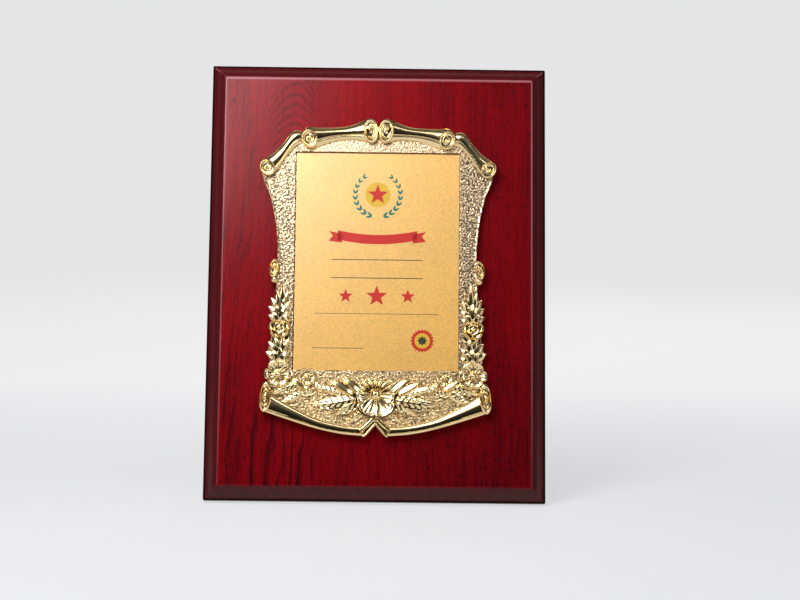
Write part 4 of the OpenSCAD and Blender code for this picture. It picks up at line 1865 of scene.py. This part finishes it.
    def _settled(self, spot: Vector, border: bool, rim: RimFinder) -> tuple[Vector, float]:
        """Draws a border point of the grid to the window or to the outline.

        Args:
            spot: The grid's point.
            border: Whether it is on the grid's border.
            rim: Finds the outline.

        Returns:
            The point's place, and its distance from the outline.
        """
        left, right, low, high = self.WINDOW
        if not border:
            return spot, (rim.nearest(spot) - spot).length if abs(spot.x) > self.SIDE_FROM else self.INSIDE
        if max(left - spot.x, spot.x - right, low - spot.y, spot.y - high) >= self.pitch * 1.5:
            return rim.nearest(spot), 0.0
        spot = Vector((min(max(spot.x, left), right), min(max(spot.y, low), high)))
        sides = ((0, left), (0, right), (1, low), (1, high))
        _, axis, line = min((abs(spot[axis] - line), axis, line) for axis, line in sides)
        spot[axis] = line
        return spot, self.INSIDE

    def _close_under(self, piece: Piece) -> None:
        """Adds walls from the ground's border down to the board, a back, and the tray in the window.

        Args:
            piece: The open sheet.
        """
        left, right, low, high = self.WINDOW
        axes = [self.board.at(*axis) - self.board.at(0, 0, 0) for axis in ((1, 0, 0), (0, 1, 0), (0, 0, 1))]
        work = bmesh.new()
        work.from_mesh(piece.data)
        border = [e for e in work.edges if e.is_boundary]
        walls = bmesh.ops.extrude_edge_only(work, edges=border)["geom"]
        for vertex in (g for g in walls if isinstance(g, bmesh.types.BMVert)):
            u, v, w = ((vertex.co - self.board.origin).dot(axis) / axis.length_squared for axis in axes)
            in_window = left - 0.1 < u < right + 0.1 and low - 0.1 < v < high + 0.1
            vertex.co -= axes[2] * (w - (Level.TRAY if in_window else Level.FACE))
        bmesh.ops.holes_fill(work, edges=[e for e in work.edges if e.is_boundary], sides=0)
        bmesh.ops.recalc_face_normals(work, faces=work.faces)
        work.to_mesh(piece.data)
        work.free()
        piece.data.set_sharp_from_angle(angle=math.radians(self.GROUND_CREASE))

    def cast(self, name: str, shapes: Iterable[Roll | Volute | Knob | Leaf], crease: float,
             beds: Iterable[Sequence[Point2]] = ()) -> Piece:
        """Some shapes of the right half, with their mirror images.

        Args:
            name: The piece's name.
            shapes: What it is made of.
            crease: Edges bent further than this many degrees stay sharp.
            beds: Outlines of low flats under the shapes.

        Returns:
            The piece.
        """
        maker = MeshMaker(self.board)
        for bed in beds:
            maker.prism(bed, Level.SUNK, Level.GROUND + self.BED_RISE)
        for shape in shapes:
            maker.loft(shape.rings())
        maker.mirror()
        return maker.make(name, crease)

    def flowers(self) -> Piece:
        """The flowers of the sides, and the open flower at the middle of the foot.

        Returns:
            The piece.
        """
        maker = MeshMaker(self.board)
        for turn in range(0, 360, 72):
            for petal in (
                Petal(self.ROSE, 90 + turn, 76, 1.2, 7.2, ribs=1, rise=2.6, rib=0.0, cup=0.9),
                Petal(self.ROSE, 126 + turn, 74, 0.8, 4.4, ribs=1, rise=3.6, rib=0.0, cup=0.6),
                Petal(self.CLUSTER, 54 + turn, 70, 1.0, 6.2, ribs=2, rise=2.4, rib=0.4),
            ):
                maker.loft(petal.rings())
        for turn in range(60, 420, 60):
            petal = Petal(self.LILY, turn, 58, 1.6, 9.4, ribs=2, rise=2.8, rib=0.4, cup=1.3)
            maker.loft(petal.rings())
        maker.loft(Knob(self.ROSE, 1.6, 8.0).rings())
        maker.loft(Knob(self.CLUSTER, 1.6, 6.6).rings())
        maker.loft(Knob(self.LILY, 2.6, 7.2, squareness=3).rings())
        maker.mirror()
        fan = Petal(self.PANSY, 90, 176, 2.5, 11.4, ribs=9, rise=3.4, rib=1.3, cup=-0.5, stretch=1.2)
        maker.loft(fan.rings())
        for facing, spread, far in self.PANSY_PETALS:
            petal = Petal(self.PANSY, facing, spread, 2.5, far, ribs=2, rise=2.6, rib=0.4, cup=0.9, low=0.0)
            maker.loft(petal.rings())
        maker.loft(Knob(self.PANSY, 3.8, 8.2, squareness=5).rings())
        return maker.make("frame_flowers", crease=45)

    def notch(self) -> Piece:
        """The pale rim of the notch at the middle of the foot, and the folds beside it.

        Returns:
            The piece.
        """
        maker = MeshMaker(self.board)
        maker.loft(self._bar(self.NOTCH_RIM, 0.8, Level.FACE, 5.6))
        maker.loft(self._bar(self.NOTCH_FOLD, 1.4, Level.SUNK, 6.2))
        maker.prism(self.NOTCH_BED, Level.FACE, self.NOTCH_BED_TOP)
        maker.mirror()
        return maker.make("frame_notch_rim", crease=50)

    def _bar(self, path: Sequence[Point2], half: float, foot: float, top: float) -> list[list[Point3]]:
        """Closed sections of a rounded bar along a path.

        Args:
            path: Points that the bar follows.
            half: Half its width.
            foot: Height where it stands.
            top: Height of its crown.

        Returns:
            The rings.
        """
        spring = top - self.BAR_ROUND
        profile = [(-1.0, foot), (-1.0, spring)]
        for i in range(1, self.BAR_STEPS):
            angle = math.pi * i / self.BAR_STEPS
            profile.append((-math.cos(angle), spring + self.BAR_ROUND * math.sin(angle)))
        profile += [(1.0, spring), (1.0, foot)]
        spots = [Vector(p) for p in curve_through(path, self.BAR_SAMPLES)]
        found: list[list[Point3]] = []
        for k, spot in enumerate(spots):
            run = spots[min(k + 1, len(spots) - 1)] - spots[max(k - 1, 0)]
            square = Vector((-run.y, run.x)).normalized() * half
            found.append([(*(spot + square * x), w) for x, w in profile])
        return found

    def dress(self, dresser: Dresser) -> None:
        """Builds the casting's pieces in place of the plain casting, and paints the tape behind it.

        Args:
            dresser: Paints pieces and puts them on their bodies.
        """
        dresser.settle(self.ground(), Finishes.STIPPLE, "gilt", "board", "scroll_frame")
        rolls = self.cast("frame_rolls", self.ROLLS, 55)
        ends = self.cast("frame_scroll_ends", (*self.VOLUTES, self.BUD_BALL), 50)
        leaves = self.cast("frame_leaves", (*self.SIDE_LEAVES, *self.FOOT_LEAVES), 45, self.LEAF_BEDS)
        for piece in (rolls, ends, leaves, self.flowers(), self.notch()):
            dresser.settle(piece, Finishes.GILT, "gilt", "board", "scroll_frame")
        dresser.paint_node("frame_tape", Finishes.FOAM)


@dataclass
class Inscription:
    """The sand-gold plate and its printed award design, which has no words.

    Attributes:
        board: The board's axes.
        ink: Thickness of the printed ink.
    """

    board: BoardFrame
    ink: float = 0.05

    INK_GAP = 0.01
    CIRCLE_STEPS = 96
    EMBLEM = (0.0, 58.0)
    EMBLEM_DISC = 8.6
    EMBLEM_STAR = 7.2
    WREATH_RADIUS = 15.5
    WREATH_PAIRS = 9
    WREATH_FOOT = 14
    WREATH_STEP = 15.5
    LEAF_LENGTH = 0.3
    LEAF_SHRINK = 0.03
    LEAF_TURNS = (0.55, -0.35)
    LEAF_HALF = 0.2
    WREATH_LEAF = ((0, 0), (0.3, -0.9), (0.65, -0.8), (1, 0), (0.65, 0.8), (0.3, 0.9))
    BAND = ((0.0, 30.0), 54, 6.4, 3.0)
    BAND_TAIL = ((24, 30.8), (33, 32.6), (30.2, 29.4), (33, 25.8), (24, 24.6))
    RULES = (((0, 13.0), 62, 0.5), ((0, 0.5), 62, 0.5), ((-26.0, -47.5), 34, 0.4), ((0, -24.0), 84, 0.3))
    STAR_ROW = (((-21, -12.0), 5.0), ((0, -12.0), 7.4), ((21, -12.0), 5.0))
    SEAL = (31.0, -42.0)
    SEAL_EDGE = (7.4, 20, 0.5)
    SEAL_DISC = 5.2
    SEAL_STAR = (3.6, 8, 0.6)

    def shape(self, name: str, layer: int, outlines: Iterable[Sequence[Point2]]) -> Piece:
        """Some outlines of one ink.

        Args:
            name: The piece's name.
            layer: How many inks lie under it.
            outlines: Outlines on the board.

        Returns:
            The piece.
        """
        maker = MeshMaker(self.board)
        low = Level.PLATE_FACE + self.INK_GAP + layer * self.ink
        for outline in outlines:
            maker.prism(outline, low, low + self.ink)
        return maker.make(name, crease=30)

    @staticmethod
    def around(centre: Point2, radii: Sequence[float]) -> list[Point2]:
        """An outline of points at even turns from the top.

        Args:
            centre: Its middle.
            radii: The radius at each point.

        Returns:
            The outline.
        """
        found: list[Point2] = []
        for i, radius in enumerate(radii):
            a = math.pi / 2 + 2 * math.pi * i / len(radii)
            found.append((centre[0] + radius * math.cos(a), centre[1] + radius * math.sin(a)))
        return found

    def circle(self, centre: Point2, radius: float, waves: int = 0, depth: float = 0.0) -> list[Point2]:
        """A circle, or a rosette with some waves of a depth round its edge."""
        turns = [2 * math.pi * i / self.CIRCLE_STEPS for i in range(self.CIRCLE_STEPS)]
        return self.around(centre, [radius + depth * math.cos(waves * turn) for turn in turns])

    def star(self, centre: Point2, radius: float, points: int = 5, waist: float = 0.42) -> list[Point2]:
        """A star with a point up, whose waist is the share of the radius between its points."""
        return self.around(centre, [radius, radius * waist] * points)

    @staticmethod
    def rule(centre: Point2, width: float, height: float) -> list[Point2]:
        """A thin level line."""
        u, v, a, b = *centre, width / 2, height / 2
        return [(u - a, v - b), (u + a, v - b), (u + a, v + b), (u - a, v + b)]

    def wreath(self, centre: Point2, radius: float) -> list[list[Point2]]:
        """The leaves of a laurel wreath that is open at the top.

        Args:
            centre: Its middle.
            radius: Its radius.

        Returns:
            The leaves' outlines.
        """
        found: list[list[Point2]] = []
        for side in (1, -1):
            for k in range(self.WREATH_PAIRS):
                a = math.radians(-90 + side * (self.WREATH_FOOT + self.WREATH_STEP * k))
                spot = Vector(centre) + radius * Vector((math.cos(a), math.sin(a)))
                length = radius * self.LEAF_LENGTH * (1 - self.LEAF_SHRINK * k)
                for turn in self.LEAF_TURNS:
                    way = Vector((-math.sin(a), math.cos(a))) * side
                    way.rotate(Matrix.Rotation(turn * side, 2))
                    cross = Vector((-way.y, way.x)) * self.LEAF_HALF
                    found.append([tuple(spot + (way * s + cross * h) * length) for s, h in self.WREATH_LEAF])
        return found

    @staticmethod
    def ribbon(centre: Point2, width: float, height: float, sag: float) -> list[Point2]:
        """A curved band.

        Args:
            centre: Middle of the straight band.
            width: Its width.
            height: Its height.
            sag: How far its middle hangs.

        Returns:
            The outline.
        """
        count = 24
        top: list[Point2] = []
        for i in range(count + 1):
            drop = sag * (1 - (2 * i / count - 1) ** 2)
            top.append((centre[0] + width * (i / count - 0.5), centre[1] + height / 2 - drop))
        return top + [(u, v - height) for u, v in reversed(top)]

    def dress(self, dresser: Dresser) -> None:
        """Paints the plate and its film, and prints the design.

        Args:
            dresser: Paints pieces and puts them on their bodies.
        """
        dresser.paint_node("inscription_plate", Finishes.SAND_GOLD)
        dresser.paint_node("plate_adhesive", Finishes.FILM)
        tails = [[(side * u, v) for u, v in self.BAND_TAIL] for side in (1, -1)]
        prints = (
            ("wreath", Finishes.TEAL_INK, 0, self.wreath(self.EMBLEM, self.WREATH_RADIUS)),
            ("disc", Finishes.YELLOW_INK, 0, [self.circle(self.EMBLEM, self.EMBLEM_DISC)]),
            ("star", Finishes.RED_INK, 1, [self.star(self.EMBLEM, self.EMBLEM_STAR)]),
            ("ribbon", Finishes.RED_INK, 0, [self.ribbon(*self.BAND), *tails]),
            ("rules", Finishes.BLACK_INK, 0, [self.rule(*rule) for rule in self.RULES]),
            ("star_row", Finishes.RED_INK, 0, [self.star(*star) for star in self.STAR_ROW]),
            ("seal", Finishes.RED_INK, 0, [self.circle(self.SEAL, *self.SEAL_EDGE)]),
            ("seal_disc", Finishes.YELLOW_INK, 1, [self.circle(self.SEAL, self.SEAL_DISC)]),
            ("seal_star", Finishes.BLACK_INK, 2, [self.star(self.SEAL, *self.SEAL_STAR)]),
        )
        for name, ink, layer, outlines in prints:
            dresser.settle(self.shape(f"print_{name}", layer, outlines), ink, "gold_plate", "board")


@dataclass
class Hardware:
    """The easel leg, its hinge, and the hanger at the back."""

    STEEL = ("hinge_fixed_leaf", "hinge_moving_leaf", "hinge_pin", "hanger_strap", "hanger_ring")
    SCREWS = ("board_hinge_screws", "leg_hinge_screws", "hanger_screw")

    def dress(self, dresser: Dresser) -> None:
        """Paints the hardware.

        Args:
            dresser: Paints the pieces.
        """
        for name in self.STEEL:
            dresser.paint_node(name, Finishes.ZINC)
        for name in self.SCREWS:
            dresser.paint_node(name, Finishes.PASSIVATED)
        dresser.paint_node("easel_leg", Finishes.LEG_LACQUER)
        dresser.paint_node("leg_foot", Finishes.RUBBER)


@dataclass(frozen=True)
class Lamp:
    """A soft rectangular lamp.

    Attributes:
        name: Its name.
        place: Where it hangs, in metres.
        size: Its width and height.
        power: Its power, in watts.
    """

    name: str
    place: Point3
    size: Point2
    power: float

    def hang(self, target: Point3) -> None:
        """Puts the lamp in the scene.

        Args:
            target: The point that it is aimed at.
        """
        data = bpy.data.lights.new(self.name, "AREA")
        data.shape, data.size, data.size_y, data.energy = "RECTANGLE", *self.size, self.power
        made = bpy.data.objects.new(self.name, data)
        made.location = self.place
        made.rotation_mode = "QUATERNION"
        made.rotation_quaternion = (Vector(target) - Vector(self.place)).to_track_quat("-Z", "Y")
        made.visible_camera = False
        bpy.context.scene.collection.objects.link(made)


@dataclass
class Studio:
    """A pale floor, soft lights, a dark card for the gilt to mirror, and the camera.

    Attributes:
        camera_place: Where the camera stands, in metres.
        pitch: How far it looks up, in degrees.
        yaw: How far it is turned to its left, in degrees.
        roll: How far it is rolled about its view, in degrees.
        lens: Focal length, in millimetres.
        sensor: Width of its sensor, in millimetres.
        floor_shade: The floor's colour in the light that it throws on the plaque.
        seen_shade: The floor's colour as the camera sees it.
        pale_floor: The floor's own pale shade.
        pale_backdrop: The backdrop's own pale shade.
        pale_share: How much of the view is the pale shade, the rest being light and shadow.
        mirror_share: How much of the pale shade mirrors show near the plaque.
        far_mirror: The share of that which they show of the backdrop.
        bend: Places from front to back between which the floor becomes the backdrop.
        card_span: The dark card's left, right, front and top.
        card_low: Shade of the card's foot.
        card_high: Shade of the card's top.
        card_fade: Height where the card starts to grow paler.
        sky: Strength of the even light from all round.
        sky_shade: Its colour.
        middle: The point of the plaque that the lamps are aimed at.
    """

    camera_place: Point3 = (-0.00124, -1.36635, 0.2816)
    pitch: float = -6.195
    yaw: float = -0.726
    roll: float = 0.769
    lens: float = 90.0
    sensor: float = 36.0
    floor_shade: Colour = (0.5, 0.5, 0.5)
    seen_shade: Colour = (0.9, 0.9, 0.91)
    pale_floor: Colour = (0.79, 0.79, 0.81)
    pale_backdrop: Colour = (0.99, 0.99, 1.0)
    pale_share: float = 0.75
    mirror_share: float = 0.8
    far_mirror: float = 0.4
    bend: Span = (0.05, 0.5)
    card_span: tuple[float, float, float, float] = (-2.2, 1.6, -1.75, 1.55)
    card_low: Colour = (0.03, 0.03, 0.03)
    card_high: Colour = (0.32, 0.32, 0.32)
    card_fade: float = 0.3
    sky: float = 0.15
    sky_shade: Colour = (0.97, 0.97, 1.0)
    middle: Point3 = (0.0, 0.0, 0.15)

    LAMPS = (
        Lamp("left_softbox", (-0.23, -0.38, 0.58), (0.32, 0.34), 2.7),
        Lamp("front_softbox", (-0.5, -0.75, 1.25), (1.1, 0.7), 3.6),
        Lamp("top_strip", (-0.1, -0.4, 1.2), (1.2, 0.07), 1.6),
        Lamp("left_strip", (-0.5, -0.62, 0.45), (0.08, 0.5), 0.9),
        Lamp("right_strip", (0.55, -0.62, 0.5), (0.14, 0.5), 1.4),
        Lamp("back_softbox", (0.35, 1.1, 0.8), (0.9, 0.6), 3.5),
    )
    ROUGH = 0.9
    FAINT_SHINE = 0.1

    def camera(self) -> None:
        """Sets the camera at the photograph's angle."""
        data = bpy.data.cameras.new("camera")
        data.lens, data.sensor_width = self.lens, self.sensor
        made = bpy.data.objects.new("camera", data)
        bpy.context.scene.collection.objects.link(made)
        turn = Euler((math.radians(90 + self.pitch), 0, math.radians(self.yaw))).to_matrix().to_4x4()
        rolled = turn @ Matrix.Rotation(math.radians(self.roll), 4, "Z")
        made.matrix_world = Matrix.Translation(self.camera_place) @ rolled
        bpy.context.scene.camera = made

    def panel(self, paint: Paint, corners: Sequence[Point3], faces: Sequence[tuple[int, ...]]) -> Piece:
        """A stage panel with a rough finish.

        Args:
            paint: The panel's material, which also names it.
            corners: Its points, in metres.
            faces: Its faces.

        Returns:
            The panel, which is no part of the plaque.
        """
        paint.give("Roughness", self.ROUGH)
        paint.give("Specular IOR Level", self.FAINT_SHINE)
        mesh = bpy.data.meshes.new(paint.material.name)
        mesh.from_pydata(corners, [], faces)
        mesh.materials.append(paint.material)
        made = bpy.data.objects.new(mesh.name, mesh)
        bpy.context.scene.collection.objects.link(made)
        return made

    def pale(self, paint: Paint) -> None:
        """Gives a panel its own pale shade to the camera and in mirrors, with a share of its shadows.

        Args:
            paint: The panel's material.
        """
        rays = paint.add("ShaderNodeLightPath").outputs
        back = paint.parts(paint.object_place())["Y"]
        mirrored = paint.math("MAXIMUM", rays["Is Glossy Ray"], rays["Is Transmission Ray"])
        shade = paint.mix(paint.ramp(back, *self.bend), self.pale_floor, self.pale_backdrop)
        shade = paint.mix(mirrored, shade, (1.0, 1.0, 1.0))
        in_mirror = paint.ramp(back, *self.bend, self.mirror_share, self.mirror_share * self.far_mirror)
        share = paint.math("MULTIPLY", rays["Is Camera Ray"], self.pale_share)
        share = paint.math("MULTIPLY_ADD", mirrored, in_mirror, share)
        paint.give("Base Color", paint.mix(rays["Is Camera Ray"], self.floor_shade, self.seen_shade))
        glow = paint.add("ShaderNodeEmission", {"Color": shade, "Strength": 1.0})
        mixed = paint.add("ShaderNodeMixShader", {0: share, 1: paint.shader.outputs[0], 2: glow.outputs[0]})
        paint.put(paint.tree.nodes["Material Output"].inputs["Surface"], mixed.outputs[0])

    def sweep(self, shelf: EffectShelf) -> None:
        """A pale floor that curves up into the backdrop.

        Args:
            shelf: The shared effects.
        """
        half, front, turn, radius, top, steps = 40.0, -40.0, 1.6, 1.0, 6.0, 24
        profile = [(front, 0.0)]
        for k in range(steps + 1):
            angle = math.pi / 2 * k / steps
            profile.append((turn + radius * math.sin(angle), radius * (1 - math.cos(angle))))
        profile.append((turn + radius, top))
        points = [(side * half, y, z) for y, z in profile for side in (-1, 1)]
        faces = [(2 * k, 2 * k + 1, 2 * k + 3, 2 * k + 2) for k in range(len(profile) - 1)]
        paint = Paint("sweep", shelf)
        panel = self.panel(paint, points, faces)
        panel.data.polygons.foreach_set("use_smooth", [True] * len(faces))
        self.pale(paint)

    def card(self, shelf: EffectShelf) -> None:
        """A dark card behind the camera, for the gilt to mirror.

        Args:
            shelf: The shared effects.
        """
        left, right, front, top = self.card_span
        corners = [(left, front, 0.0), (right, front, 0.0), (right, front, top), (left, front, top)]
        paint = Paint("dark_card", shelf)
        self.panel(paint, corners, [(0, 1, 2, 3)]).visible_camera = False
        height = paint.ramp(paint.parts(paint.object_place())["Z"], self.card_fade, top)
        paint.give("Base Color", paint.mix(height, self.card_low, self.card_high))

    def build(self, shelf: EffectShelf) -> None:
        """Builds the stage.

        Args:
            shelf: The shared effects.
        """
        self.sweep(shelf)
        self.card(shelf)
        for lamp in self.LAMPS:
            lamp.hang(self.middle)
        world = bpy.data.worlds.new("studio")
        world.use_nodes = True
        background = world.node_tree.nodes["Background"]
        background.inputs["Color"].default_value = (*self.sky_shade, 1.0)
        background.inputs["Strength"].default_value = self.sky
        bpy.context.scene.world = world
        bpy.context.scene.view_settings.view_transform = "Standard"
        self.camera()


def main() -> None:
    """Builds the plaque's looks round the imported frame."""
    logging.basicConfig(level=logging.INFO, format="%(name)s: %(message)s")
    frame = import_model()
    board = BoardFrame.from_plate()
    shelf = EffectShelf(board)
    dresser = Dresser(shelf, frame["nodes"])
    for assembly in (Board(board), ScrollFrame(board), Inscription(board), Hardware()):
        assembly.dress(dresser)
    Studio().build(shelf)
    bpy.context.view_layer.update()


if __name__ == "__main__":
    main()
